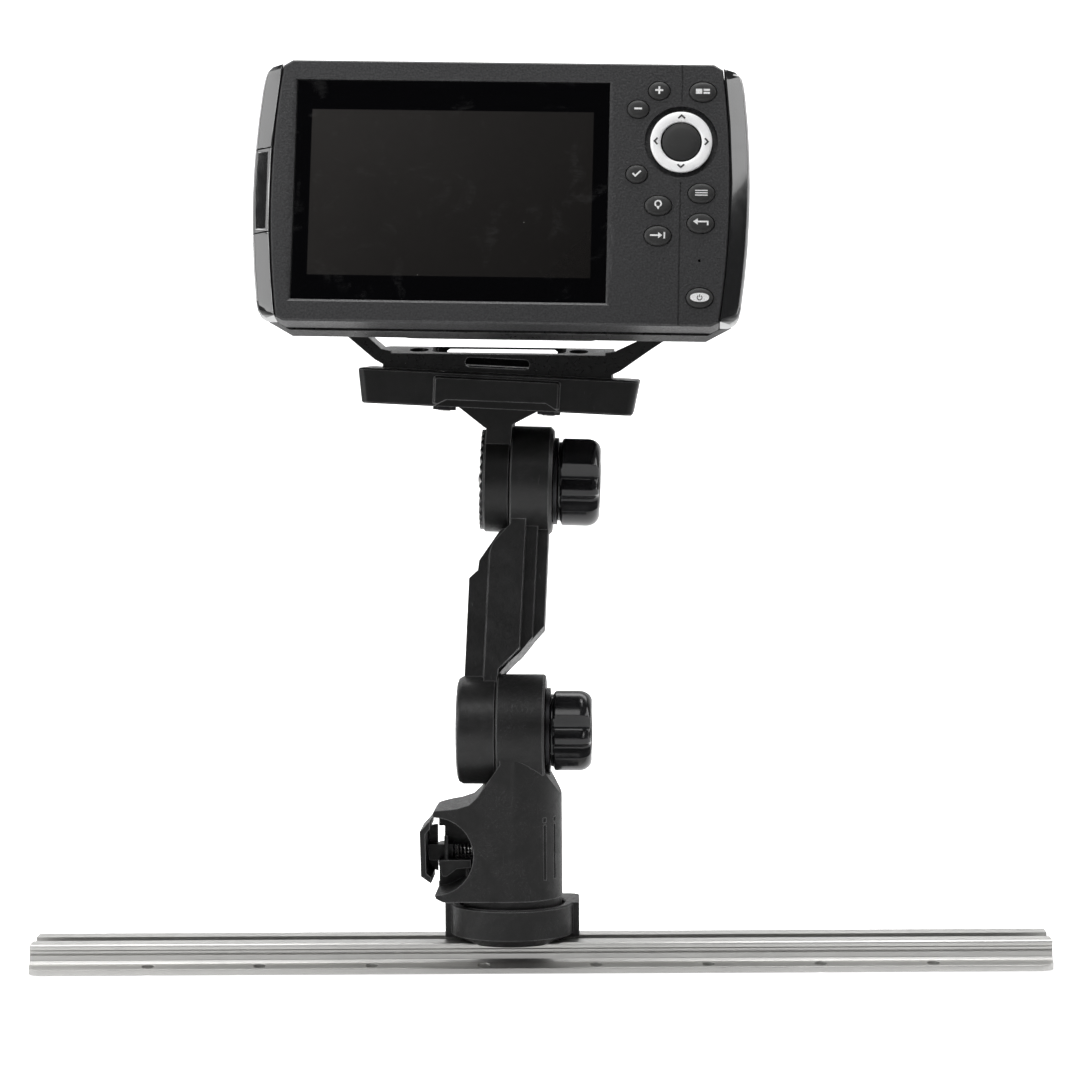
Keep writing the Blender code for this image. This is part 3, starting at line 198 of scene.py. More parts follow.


def nylon(name, shade, rough, matrix=None, grain=0.035, marks=0.70, flow=0.0):
    """Satin glass-filled nylon: fine grain, cloudy flow marks, pale scuffs, and pale edges that are partly
    rubbed wear and partly a painted highlight.
    """
    s = Shader(name)
    at = s.coords(matrix)
    grit = s.noise(at, 1.7, 4.0, 0.65)
    cloud = s.noise(at, 0.055, 3.0, 0.5, 1.6)
    swirl = s.noise(at, 0.16, 2.0, 0.5, 5.0)
    scuff = scratches(s, matrix, (0.9, 0.9, 0.10), marks)
    colour = s.mix(s.ramp(cloud, 0.3, 0.7), (shade * 0.75,) * 3,
                   (shade * 1.25, shade * 1.24, shade * 1.26))
    colour = s.mix(s.math("MULTIPLY", scuff, 0.55), colour, (0.075, 0.075, 0.078))
    colour = s.mix(s.math("MULTIPLY", s.ramp(grit, 0.62, 0.78), 0.30), colour, (0.05, 0.05, 0.052))
    if flow:
        vein = s.ramp(s.math("ABSOLUTE", s.math("SUBTRACT", swirl, 0.5)), 0.0, 0.018, flow, 0.0)
        vein = s.math("MULTIPLY", vein, s.ramp(cloud, 0.45, 0.6))
        colour = s.mix(vein, colour, (0.06, 0.06, 0.062))
    # pale grey painted on convex and concave edges alike: partly handling wear, partly a painted highlight
    # of edges catching the light
    edge = s.math("MULTIPLY", worn_and_highlit_edges(s, EDGE_RADIUS), s.ramp(cloud, 0.30, 0.55, 0.35, 1.0))
    colour = s.mix(s.math("MULTIPLY", edge, EDGE_WEAR_AND_HIGHLIGHT), colour, (0.20, 0.20, 0.202))
    roughness = s.math("ADD", s.ramp(swirl, 0.35, 0.65, rough - 0.07, rough + 0.07),
                       s.math("MULTIPLY", scuff, 0.12))
    normal = s.bump(grit, grain)
    normal = s.bump(swirl, 3 * grain, 0.35, normal)
    return s.surface(Base_Color=colour, Roughness=roughness, Normal=normal, Specular_IOR_Level=0.32)


def bezel_plastic():
    """Charcoal shell with a fine leather-like grain."""
    s = Shader("bezel_plastic")
    at = s.coords(HEAD)
    grain = s.noise(at, 1.25, 2.0, 0.5)
    pits = s.add("TexVoronoi", {"feature": "F1"}, Vector=at, Scale=1.1).outputs["Distance"]
    cloud = s.noise(at, 0.02, 2.0)
    colour = s.mix(s.ramp(grain, 0.30, 0.72), (0.008, 0.008, 0.0085), (0.034, 0.034, 0.036))
    colour = s.mix(s.math("MULTIPLY", s.ramp(cloud, 0.35, 0.7), 0.25), colour, (0.030, 0.030, 0.032))
    normal = s.bump(s.math("ADD", grain, s.math("MULTIPLY", pits, 0.45)), 0.14)
    return s.surface(Base_Color=colour, Roughness=s.ramp(grain, 0.3, 0.7, 0.52, 0.40), Normal=normal)


def gloss_black(name, matrix):
    """Polished moulding: faint hairline scratches and a little handling haze."""
    s = Shader(name)
    at = s.coords(matrix)
    haze = s.noise(at, 0.09, 3.0, 0.6, 0.8)
    lines = scratches(s, matrix, (1.6, 1.6, 0.06), 0.66)
    colour = s.mix(s.math("MULTIPLY", lines, 0.25), (0.008, 0.008, 0.0084), (0.05, 0.05, 0.052))
    roughness = s.math("ADD", s.ramp(haze, 0.35, 0.7, 0.06, 0.15), s.math("MULTIPLY", lines, 0.12))
    normal = s.bump(s.noise(at, 0.12, 1.0), 0.05, 0.4)
    return s.surface(Base_Color=colour, Roughness=roughness, Normal=normal, Coat_Weight=1.0,
                     Coat_Roughness=0.05, Specular_IOR_Level=0.7)


def knob_plastic():
    """Moulded black knob: glossy, with swirling flow marks and rubbed ridges."""
    s = Shader("knob_plastic")
    at = s.coords()
    flow = s.noise(at, 0.22, 2.0, 0.5, 4.0)
    scuff = scratches(s, None, (0.12, 1.2, 1.2), 0.72)
    colour = s.mix(s.math("MULTIPLY", scuff, 0.15), (0.009, 0.009, 0.010), (0.04, 0.04, 0.042))
    colour = s.mix(s.math("MULTIPLY", s.ramp(flow, 0.5, 0.56), 0.12), colour, (0.03, 0.03, 0.031))
    normal = s.bump(flow, 0.04, 0.2)
    return s.surface(Base_Color=colour, Roughness=s.ramp(flow, 0.35, 0.65, 0.13, 0.22), Normal=normal)


def rubber(name, shade, matrix=None):
    """Matt rubber with a very fine grain and settled dust."""
    s = Shader(name)
    at = s.coords(matrix)
    fine = s.noise(at, 2.6, 3.0, 0.6)
    dust = s.noise(at, 0.35, 4.0, 0.7)
    colour = s.mix(s.ramp(fine, 0.3, 0.75), (shade * 0.8,) * 3, (shade * 1.2,) * 3)
    colour = s.mix(s.math("MULTIPLY", s.ramp(dust, 0.62, 0.8), 0.3), colour, (0.07, 0.07, 0.072))
    return s.surface(Base_Color=colour, Roughness=s.ramp(fine, 0.3, 0.7, 0.52, 0.66),
                     Normal=s.bump(fine, 0.03), Sheen_Weight=0.08)


def anodised():
    """Clear-anodised extrusion: die lines along its length, handling haze and small knocks."""
    s = Shader("anodised_aluminium")
    lines = s.noise(s.coords(None, (0.012, 3.2, 3.2)), 1.0, 5.0, 0.6)
    broad = s.noise(s.coords(None, (0.004, 0.35, 0.35)), 1.0, 2.0)
    haze = s.noise(s.coords(), 0.035, 3.0, 0.6, 0.7)
    knocks = s.ramp(s.noise(s.coords(None, (0.5, 1.6, 1.6)), 1.0, 5.0, 0.7), 0.70, 0.76)
    colour = s.mix(s.ramp(broad, 0.3, 0.7), (0.52, 0.515, 0.50), (0.60, 0.595, 0.58))
    colour = s.mix(s.math("MULTIPLY", s.ramp(haze, 0.4, 0.75), 0.35), colour, (0.46, 0.455, 0.445))
    colour = s.mix(s.math("MULTIPLY", knocks, 0.35), colour, (0.36, 0.36, 0.355))
    roughness = s.math("ADD", s.ramp(lines, 0.3, 0.7, 0.36, 0.44), s.math("MULTIPLY", knocks, 0.15))
    return s.surface(Base_Color=colour, Metallic=1.0, Roughness=roughness, Normal=s.bump(lines, 0.02, 0.3),
                     Anisotropic=0.4)


def metal(name, colour, rough=0.26):
    """Turned or rolled metal with tool marks and slight staining."""
    s = Shader(name)
    at = s.coords()
    marks = s.noise(s.coords(None, (4.0, 4.0, 0.6)), 1.0, 4.0, 0.6)
    stain = s.noise(at, 0.4, 3.0, 0.6)
    tint = s.mix(s.math("MULTIPLY", s.ramp(stain, 0.45, 0.75), 0.4), colour, tuple(c * 0.6 for c in colour))
    return s.surface(Base_Color=tint, Metallic=1.0, Normal=s.bump(marks, 0.02),
                     Roughness=s.ramp(marks, 0.3, 0.7, rough - 0.06, rough + 0.10))


def cover_glass():
    """Tinted cover glass: black mask, a slightly paler display behind it with a painted sheen towards its
    top left, smudges and dust.
    """
    s = Shader("cover_glass")
    at = s.coords(HEAD)
    lit = s.window(at, -73.4, 35.5, -32.4, 33.0, 0.2)
    wide = s.noise(at, 0.013, 2.0, 0.5)
    prints = s.noise(at, 0.055, 4.0, 0.6, 1.4)
    ridges = s.noise(s.coords(HEAD, (0.5, 0.5, 1.6)), 0.35, 3.0, 0.6, 1.2)
    specks = s.add("TexVoronoi", {"feature": "F1"}, Vector=at, Scale=0.05).outputs["Distance"]
    parts = s.add("SeparateXYZ", Vector=at).outputs
    # painted sheen: the display is painted paler towards its top left, standing in for reflected light on
    # the glass
    corner = s.ramp(s.math("SUBTRACT", parts[2], parts[0]), -70.0, 110.0)
    display = s.mix(corner, (0.0065, 0.0058, 0.0054), (0.0250, 0.0235, 0.0225))
    display = s.mix(s.math("MULTIPLY", s.ramp(wide, 0.4, 0.7), 0.5), display, (0.010, 0.0092, 0.0087))
    colour = s.mix(lit, (0.0012, 0.0012, 0.0016), display)
    smear = s.math("MULTIPLY", s.ramp(prints, 0.56, 0.66), s.ramp(ridges, 0.35, 0.65))
    colour = s.mix(s.math("MULTIPLY", smear, 0.10), colour, (0.07, 0.07, 0.07))
    colour = s.mix(s.math("MULTIPLY", s.ramp(specks, 0.014, 0.008), 0.35), colour, (0.30, 0.30, 0.28))
    roughness = s.math("ADD", s.ramp(prints, 0.45, 0.7, 0.05, 0.14), s.math("MULTIPLY", smear, 0.12))
    return s.surface(Base_Color=colour, Roughness=roughness,
                     Specular_IOR_Level=s.ramp(lit, 0.0, 1.0, 0.12, 0.30))


def satin_white():
    """Smooth white moulding, very slightly clouded."""
    s = Shader("satin_white")
    at = s.coords(HEAD)
    cloud = s.noise(at, 0.12, 2.0)
    fine = s.noise(at, 3.0, 2.0)
    colour = s.mix(s.ramp(cloud, 0.35, 0.7), (0.88, 0.88, 0.885), (0.95, 0.95, 0.95))
    return s.surface(Base_Color=colour, Roughness=s.ramp(fine, 0.3, 0.7, 0.24, 0.34), Coat_Weight=0.2)


def legend_white():
    """White print on the keys, a little worn."""
    s = Shader("legend_white")
    worn = s.noise(s.coords(HEAD), 2.2, 3.0)
    colour = s.mix(s.ramp(worn, 0.35, 0.6), (0.62, 0.62, 0.62), (0.86, 0.86, 0.86))
    return s.surface(Base_Color=colour, Roughness=0.5)


def legend_dark():
    """Dark print on the white ring and the power key."""
    s = Shader("legend_dark")
    worn = s.noise(s.coords(HEAD), 2.2, 3.0)
    return s.surface(Base_Color=s.mix(worn, (0.02, 0.02, 0.02), (0.05, 0.05, 0.05)), Roughness=0.5)


def board_green():
    """Solder mask with copper tracks showing through and small bright pads."""
    s = Shader("board_green")
    at = s.coords(HEAD)
    cells = s.add("TexVoronoi", {"feature": "DISTANCE_TO_EDGE"}, Vector=at, Scale=0.22).outputs[0]
    pads = s.add("TexVoronoi", {"feature": "F1"}, Vector=at, Scale=0.5).outputs["Distance"]
    colour = s.mix(s.ramp(cells, 0.05, 0.09), (0.03, 0.20, 0.08), (0.012, 0.10, 0.04))
    pad = s.ramp(pads, 0.22, 0.18)
    colour = s.mix(pad, colour, (0.65, 0.60, 0.45))
    return s.surface(Base_Color=colour, Roughness=0.35, Metallic=s.math("MULTIPLY", pad, 0.8),
                     Normal=s.bump(cells, 0.05))


def speaker_cone():
    """Dark cone with concentric ripples."""
    s = Shader("speaker_cone")
    at = s.coords(HEAD)
    settings = {"wave_type": "RINGS", "rings_direction": "Y"}
    rings = s.add("TexWave", settings, Vector=at, Scale=0.3).outputs["Fac"]
    return s.surface(Base_Color=s.mix(rings, (0.012, 0.012, 0.012), (0.04, 0.04, 0.042)),
                     Roughness=0.7, Normal=s.bump(rings, 0.3))


# ---------------------------------------------------------------- mesh helpers

def bridge(bm, first, second):
    n = len(first)
    for i in range(n):
        bm.faces.new((first[i], first[(i + 1) % n], second[(i + 1) % n], second[i]))


def loft(loops, closed=False):
    """Mesh through a list of loops of points, capped unless closed into a ring."""
    bm = bmesh.new()
    rows = [[bm.verts.new(p) for p in loop] for loop in loops]
    for first, second in zip(rows, rows[1:]):
        bridge(bm, first, second)
    if closed:
        bridge(bm, rows[-1], rows[0])
    else:
        bm.faces.new(rows[0][::-1])
        bm.faces.new(rows[-1])
    return bm


def ring_points(radius, count, at, plane="X", shape=None):
    """Loop of points round an axis; shape(angle) may give the radius."""
    points = []
    for i in range(count):
        angle = 2 * math.pi * i / count
        r = shape(angle) if shape else radius
        u, v = r * math.cos(angle), r * math.sin(angle)
        points.append({"X": (at, u, v), "Y": (u, at, v), "Z": (u, v, at)}[plane])
    return points


def lathe(profile, plane, count=64, closed=False):
    """Solid turned about an axis of its frame from (radius, position along the axis) pairs."""
    return loft([ring_points(r, count, at, plane) for r, at in profile], closed)


def slab(outline, front, back):
    """Flat piece of a given outline of (x, z) between two depths."""
    return loft([[(x, front, z) for x, z in outline], [(x, back, z) for x, z in outline]])


def merge(*meshes):
    total = bmesh.new()
    for bm in meshes:
        mesh = bpy.data.meshes.new("part")
        bm.to_mesh(mesh)
        total.from_mesh(mesh)
        bpy.data.meshes.remove(mesh)
        bm.free()
    return total


CREASE = math.radians(32)       # a sharper turn than this keeps its edge
FLAT = math.radians(0.4)        # faces that turn less than this are one flat face
BEVEL_SEGMENTS = 2
WELD_DISTANCE = 2e-6
ROWS_OF_HOLES = ("track_rail",)  # long faces full of holes, which do not merge cleanly into one


def smooth_group():
    """Geometry nodes group that smooths a mesh except at its creases."""
    group = bpy.data.node_groups.new("smooth_by_angle", "GeometryNodeTree")
    group.interface.new_socket("Geometry", in_out="INPUT", socket_type="NodeSocketGeometry")
    group.interface.new_socket("Geometry", in_out="OUTPUT", socket_type="NodeSocketGeometry")
    nodes, links = group.nodes, group.links
    start, end = nodes.new("NodeGroupInput"), nodes.new("NodeGroupOutput")
    faces, edges = nodes.new("GeometryNodeSetShadeSmooth"), nodes.new("GeometryNodeSetShadeSmooth")
    edges.domain = "EDGE"
    angle, limit = nodes.new("GeometryNodeInputMeshEdgeAngle"), nodes.new("FunctionNodeCompare")
    limit.data_type, limit.operation = "FLOAT", "LESS_EQUAL"
    limit.inputs[1].default_value = CREASE
    links.new(start.outputs[0], faces.inputs["Geometry"])
    links.new(faces.outputs[0], edges.inputs["Geometry"])
    links.new(angle.outputs["Unsigned Angle"], limit.inputs[0])
    links.new(limit.outputs[0], edges.inputs["Shade Smooth"])
    faces.inputs["Shade Smooth"].default_value = True
    links.new(edges.outputs[0], end.inputs[0])
    return group


SMOOTH = smooth_group()


def shade(obj, bevel=0.0, merge_flats=True):
    """Joins split corners, softens the edges by bevel millimetres and shades smoothly."""
    obj.modifiers.new("weld", "WELD").merge_threshold = WELD_DISTANCE
    if bevel and merge_flats:
        flat = obj.modifiers.new("flat", "DECIMATE")
        flat.decimate_type, flat.angle_limit = "DISSOLVE", FLAT
    if bevel:
        mod = obj.modifiers.new("bevel", "BEVEL")
        mod.width, mod.segments = bevel * MM, BEVEL_SEGMENTS
        mod.limit_method, mod.angle_limit = "ANGLE", CREASE
        mod.use_clamp_overlap = True
    obj.modifiers.new("smooth", "NODES").node_group = SMOOTH
    if bevel:
        even = obj.modifiers.new("even", "WEIGHTED_NORMAL")
        even.weight, even.keep_sharp = 80, True


def make(name, bm, matrix, body, material, replaces=(), bevel=0.0):
    """Places a mesh given in millimetres in a frame and sets it riding on a body."""
    bm.transform(matrix @ Matrix.Scale(MM, 4))
    bmesh.ops.recalc_face_normals(bm, faces=bm.faces[:])
    mesh = bpy.data.meshes.new(name)
    bm.to_mesh(mesh)
    bm.free()
    obj = bpy.data.objects.new(name, mesh)
    bpy.context.scene.collection.objects.link(obj)
    mesh.materials.append(material)
    shade(obj, bevel)
    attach(obj, body)
    if replaces:
        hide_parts(*replaces)
    return obj


def finish_node(name, material, bevel):
    """Gives a carried-over CAD node its finish."""
    obj = frame["nodes"][name]
    for attribute in ("custom_normal", "sharp_edge", "sharp_face"):
        if attribute in obj.data.attributes:
            obj.data.attributes.remove(obj.data.attributes[attribute])
    obj.data.materials.clear()
    obj.data.materials.append(material)
    shade(obj, bevel, merge_flats=name not in ROWS_OF_HOLES)


# ---------------------------------------------------------------- keypad

def ellipse(width, height, count=48):
    angles = [2 * math.pi * i / count for i in range(count)]
    return [(0.5 * width * math.cos(a), 0.5 * height * math.sin(a)) for a in angles]


def key_cap(name, material):
    """Domed rubber key; its foot keeps the flange that holds it behind the bezel."""
    matrix = axes(JOINTS[name + "_press"]["pos_m"], x=HEAD_X, y=HEAD_Y)
    low, high = local_box(name, matrix)
    width, height = high.x - low.x, high.z - low.z
    stations = [(high.y, 0.0), (high.y - 0.8, 0.0), (high.y - 0.8, -1.6), (0.4, -1.6), (-0.35, -1.75),
                (-0.75, -2.3), (-1.0, -3.1), (-1.15, -4.1), (-1.22, -5.0), (-1.25, -6.0)]
    loops = [[(x, y, z) for x, z in ellipse(width + grow, height + grow)] for y, grow in stations]
    make(name + "_cap", loft(loops), matrix, name, material, (name,))
    return matrix


def bar(x0, x1, z0, z1):
    """Outline of a rectangle."""
    return [(x0, z0), (x1, z0), (x1, z1), (x0, z1)]


def stroke(points, width):
    """Outline of an open line of even width."""
    left, right = [], []
    for i, (x, z) in enumerate(points):
        ahead = Vector(points[min(i + 1, len(points) - 1)]) - Vector((x, z))
        behind = Vector((x, z)) - Vector(points[max(i - 1, 0)])
        along = ((ahead.normalized() if ahead.length else Vector((0, 0)))
                 + (behind.normalized() if behind.length else Vector((0, 0)))).normalized()
        reach = width / 2
        if ahead.length and behind.length:
            reach /= max(0.4, along.dot(ahead.normalized()))
        side = Vector((-along.y, along.x)) * reach
        left.append((x + side.x, z + side.y))
        right.append((x - side.x, z - side.y))
    return left + right[::-1]


def arc_line(radius, first, last, centre=(0, 0), count=24):
    """Points along an arc between two angles in degrees."""
    angles = [math.radians(first + (last - first) * i / (count - 1)) for i in range(count)]
    return [(centre[0] + radius * math.cos(a), centre[1] + radius * math.sin(a)) for a in angles]


LINE = 0.62             # width of a drawn line in the key symbols

LEGENDS = {
    "key_zoom_in": [bar(-1.55, 1.55, -0.36, 0.36), bar(-0.36, 0.36, 0.36, 1.5),
                    bar(-0.36, 0.36, -1.5, -0.36)],
    "key_zoom_out": [bar(-1.5, 1.5, -0.36, 0.36)],
    "key_check": [stroke([(-1.5, 0.1), (-0.5, -0.95), (1.6, 1.1)], LINE)],
    "key_view": [bar(-2.7, -0.25, -1.0, 1.0), bar(0.25, 2.7, 0.2, 1.0), bar(0.25, 2.7, -1.0, -0.2)],
    "key_menu": [bar(-2.4, 2.4, 0.72, 1.12), bar(-2.4, 2.4, -0.2, 0.2), bar(-2.4, 2.4, -1.12, -0.72)],
    "key_mark": [stroke(arc_line(1.15, -50, 230, (0, 0.5)), LINE),
                 [(-0.78, -0.42), (0.78, -0.42), (0, -1.8)]],
    "key_exit": [stroke([(2.7, -0.95), (2.7, 0.5), (-1.2, 0.5)], LINE),
                 [(-1.1, -0.75), (-1.1, 1.75), (-2.9, 0.5)]],
    "key_goto": [bar(-2.9, 0.2, -0.31, 0.31), [(0.2, -1.25), (1.8, 0.0), (0.2, 1.25)],
                 bar(2.3, 2.9, -1.25, 1.25)],
    "key_power": [],
}


def keypad(rubber_key, white, dark):
    """Nine keys with their symbols; the power key carries a white eye with a dark symbol."""
    for name, shapes in LEGENDS.items():
        matrix = key_cap(name, rubber_key)
        if shapes:
            symbol = merge(*[slab(shape, -1.30, -0.95) for shape in shapes])
            make(name + "_legend", symbol, matrix, name, white)
    matrix = axes(JOINTS["key_power_press"]["pos_m"], x=HEAD_X, y=HEAD_Y)
    half_width, half_height, count = 3.6, 1.75, 48
    eye = []
    for i in range(count):
        x = half_width * math.cos(2 * math.pi * i / count)
        side = half_height if i < count // 2 else -half_height
        eye.append((x, side * (1 - (abs(x) / 3.7) ** 2.2) ** 0.5))
    make("key_power_eye", slab(eye, -1.31, -0.90), matrix, "key_power", white)
    symbol = [slab(stroke(arc_line(0.92, 128, 412, (0, -0.1)), 0.34), -1.36, -1.0),
              slab(bar(-0.17, 0.17, 0.1, 1.15), -1.36, -1.0)]
    make("key_power_symbol", merge(*symbol), matrix, "key_power", dark)


def cursor(rubber_key, white, dark):
    """Dished white ring with four dark chevrons round a rubber centre."""
    low, high = local_box("cursor_ring", CURSOR)
    inner, outer, front, back = 7.9, high.x, low.y, high.y
    profile = [(inner, back), (outer, back), (outer, front + 0.75), (outer - 0.25, front + 0.38),
               (outer - 0.75, front + 0.12), (outer - 1.5, front + 0.02), (inner + 1.3, front),
               (inner + 0.6, front + 0.10), (inner + 0.15, front + 0.42), (inner, front + 0.8)]
    make("cursor_ring_dished", lathe(profile, "Y", 96, closed=True), CURSOR, "cursor_ring", white,
         ("cursor_ring",))
    low, high = local_box("cursor_hub", CURSOR)
    front = low.y
    hub = [(3.1, high.y), (3.1, -0.1), (7.35, -0.1), (7.35, front + 1.1), (7.05, front + 0.62),
           (6.6, front + 0.45), (6.2, front + 0.42), (5.9, front + 0.30), (5.0, front + 0.16),
           (3.4, front + 0.05), (1.6, front)]
    make("cursor_hub_pad", lathe(hub, "Y", 72), CURSOR, "cursor_hub", rubber_key, ("cursor_hub",))
    chevrons = []
    for quarter in range(4):
        mark = slab(stroke([(-1.3, 9.1), (0, 10.3), (1.3, 9.1)], LINE), -2.42, -2.0)
        mark.transform(Matrix.Rotation(quarter * math.pi / 2, 4, "Y"))
        chevrons.append(mark)
    make("cursor_chevrons", merge(*chevrons), CURSOR, "cursor_ring", dark)


# ---------------------------------------------------------------- knobs, screws, sockets, spring

def lobed(radius, depth, sharpness=1):
    """Six lobes; the hollows between them narrow as sharpness grows."""
    def shape(angle):
        wave = 0.5 + 0.5 * math.cos(6 * angle)
        return radius - depth * wave ** sharpness
    return shape


SCALLOPS = ((4, 28), (82, 116))     # degrees past each rib


def winged(radius, depth, rib):
    """Three ribs and three broad lobes with scallops between; rib is the angle of one rib in degrees."""
    def shape(angle):
        t = (math.degrees(angle) - rib) % 120
        for first, last in SCALLOPS:
            if first < t < last:
                return radius - depth * math.sin(math.pi * (t - first) / (last - first))
        return radius
    return shape


def clutch_knob(name, matrix, rib, material):
    """Winged knob with a flange and well rounded ends over its insert."""
    sides, full_depth, rounding, bore_radius, bore_depth = 180, 3.6, 5.2, 5.3, 11.4
    low, high = local_box(name, matrix)
    start, end = low.x, high.x
    radius = max(high.z, -low.z, high.y, -low.y)
    stations = [(start, 0.885, 0.0), (start + 0.25, 0.90, 0.0), (start + 0.9, 0.90, 0.0),
                (start + 1.15, 0.93, 1.2), (start + 1.4, 0.975, 3.0), (start + 1.9, 1.0, full_depth)]
    for i in range(9):
        turn = math.radians(90 * i / 8)
        stations.append((end - rounding + rounding * math.sin(turn), 0.73 + 0.27 * math.cos(turn),
                         full_depth - 1.2 * i / 8))
    loops = [ring_points(0, sides, at, "X", winged(radius * scale, depth, rib))
             for at, scale, depth in stations]
    dish = [ring_points(radius * scale, sides, end - down, "X")
            for down, scale in ((0.05, 0.50), (0.7, 0.45), (0.9, 0.40))]
    bore = [ring_points(bore_radius, sides, at, "X") for at in (start + bore_depth, start)]
    make(name + "_winged", loft(bore + loops + dish), matrix, name, material, (name,), 0.25)


def gimbal_knob(name, side, material):
    """Six-lobed knob on its stud; side is -1 on the left and 1 on the right."""
    sides, thickness = 96, 10.0
    low, high = local_box(name, PIVOT)
    stud_end, end = sorted((low.x * side, high.x * side))
    start = end - thickness
    stud = [(stud_end, 2.4), (stud_end + 0.6, 2.9), (start - 0.1, 2.9), (start, 3.0)]
    body = [(start, 9.8, 0.0), (start + 0.3, 10.0, 0.0), (start + 1.2, 10.0, 0.0),
            (start + 1.6, 11.2, 1.3), (start + 2.2, 11.5, 1.6), (start + 7.4, 11.4, 1.6),
            (start + 8.6, 11.1, 1.6), (start + 9.4, 10.5, 1.5), (start + 9.85, 9.8, 1.3),
            (start + 10.0, 8.9, 1.1)]
    dish = [(start + 9.95, 6.4), (start + 9.3, 5.8), (start + 9.2, 5.0)]
    loops = [ring_points(r, sides, side * at, "X") for at, r in stud]
    loops += [ring_points(r, sides, side * at, "X", lobed(r, depth, 3)) for at, r, depth in body]
    loops += [ring_points(r, sides, side * at, "X") for at, r in dish]
    make(name + "_fluted", loft(loops), PIVOT, name, material, (name,))


def rear_screw(name, material):
    """Pan-head screw with a six-lobed socket."""
    low, high = local_box(name, HEAD)
    centre = (low + high) / 2
    matrix = HEAD @ Matrix.Translation(Vector((centre.x, 0, centre.z)) * MM)
    head, tip = high.y, low.y
    stations = [(1.3, tip, 0), (1.3, head - 2.2, 0), (2.7, head - 2.15, 0), (2.7, head - 1.2, 0),
                (2.5, head - 0.6, 0), (2.1, head - 0.2, 0), (1.6, head - 0.02, 0), (1.25, head, 0.3),
                (1.2, head - 1.0, 0.3)]
    loops = [ring_points(r, 48, at, "Y", lobed(r, depth)) for r, at, depth in stations]
    make(name + "_torx", loft(loops), matrix, "head", material, (name,))


def socket(name, pins, rubber_material, brass):
    """Cable socket: ridged collar, deep bore and brass contacts."""
    low, high = local_box(name, HEAD)
    centre = (low + high) / 2
    matrix = HEAD @ Matrix.Translation(Vector((centre.x, 0, centre.z)) * MM)
    out = high.y
    wall = [(7.0, low.y), (7.0, 54.3), (9.2, 54.3), (9.4, 54.6), (9.4, out - 0.9), (9.1, out - 0.3),
            (8.6, out), (6.0, out), (5.6, out - 0.2), (5.4, out - 0.6)]
    for i in range(5):
        at = out - 1.2 - i * 1.3
        wall += [(5.4, at), (5.7, at - 0.35), (5.7, at - 0.6), (5.4, at - 0.95)]
    bottom = [(5.4, 48.7), (5.2, 48.6)]
    make(name + "_collar", lathe(wall + bottom, "Y", 64), matrix, "head", rubber_material,
         (name,))
    contacts = []
    for i in range(pins):
        angle = 2 * math.pi * i / pins + 0.4
        pin = lathe([(0.55, 47.6), (0.55, 53.4), (0.42, 53.8), (0.15, 53.95)], "Y", 16)
        pin.transform(Matrix.Translation((2.9 * math.cos(angle), 0, 2.9 * math.sin(angle))))
        contacts.append(pin)
    make(name + "_contacts", merge(*contacts), matrix, "head", brass)


def trigger_spring(material):
    """Compression spring between the trigger's block and the post, with closed end turns."""
    start, end, turns, wire, radius, steps_per_turn, sides = -23.2, -14.9, 6.5, 0.36, 2.45, 28, 10
    low, high = local_box("trigger_spring", POST)
    cy, cz = (low.y + high.y) / 2, (low.z + high.z) / 2
    steps = int(turns * steps_per_turn)
    loops = []
    for i in range(steps + 1):
        t = i / steps
        angle = 2 * math.pi * turns * t
        ease = t - 0.055 * math.sin(2 * math.pi * t)
        along = start + wire + (end - start - 2 * wire) * ease
        out = Vector((0, math.cos(angle), math.sin(angle)))
        middle = Vector((along, cy, cz)) + out * radius
        loops.append([tuple(middle + out * (wire * math.cos(a)) + Vector((wire * math.sin(a), 0, 0)))
                      for a in (2 * math.pi * k / sides for k in range(sides))])
    spring = make("trigger_spring_coil", loft(loops), POST, "post", material, ("trigger_spring",))
    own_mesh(spring)


# ---------------------------------------------------------------- camera, light, floor

EYE = (0.02056, -1.45008, 0.25546)
PITCH, YAW, ROLL = 0.05871137, 0.01349045, 0.00735792   # downwards, to the left, clockwise, in radians
SENSOR, FOCAL_LENGTH = 36.0, 121.5828                    # millimetres


def camera():
    """Eye-level studio view, a little below the display's middle and almost square to it."""
    turn = Matrix.Rotation(YAW, 3, "Z") @ Matrix.Rotation(-PITCH, 3, "X") @ Matrix.Rotation(ROLL, 3, "Y")
    right, forward, up = turn.col[0], turn.col[1], turn.col[2]
    data = bpy.data.cameras.new("camera")
    data.sensor_width, data.lens = SENSOR, FOCAL_LENGTH
    data.clip_start, data.clip_end = 0.05, 50.0
    obj = bpy.data.objects.new("camera", data)
    obj.matrix_world = Matrix((right, up, -forward)).transposed().to_4x4()
    obj.location = EYE
    bpy.context.scene.collection.objects.link(obj)
    bpy.context.scene.camera = obj


def softbox(name, place, target, size, power):
    """Rectangular area light that faces a target; size in metres, power in watts."""
    data = bpy.data.lights.new(name, "AREA")
    data.shape, data.size, data.size_y = "RECTANGLE", *size
    data.energy = power
    obj = bpy.data.objects.new(name, data)
    obj.location = place
    obj.rotation_euler = (Vector(target) - Vector(place)).to_track_quat("-Z", "Y").to_euler()
    bpy.context.scene.collection.objects.link(obj)


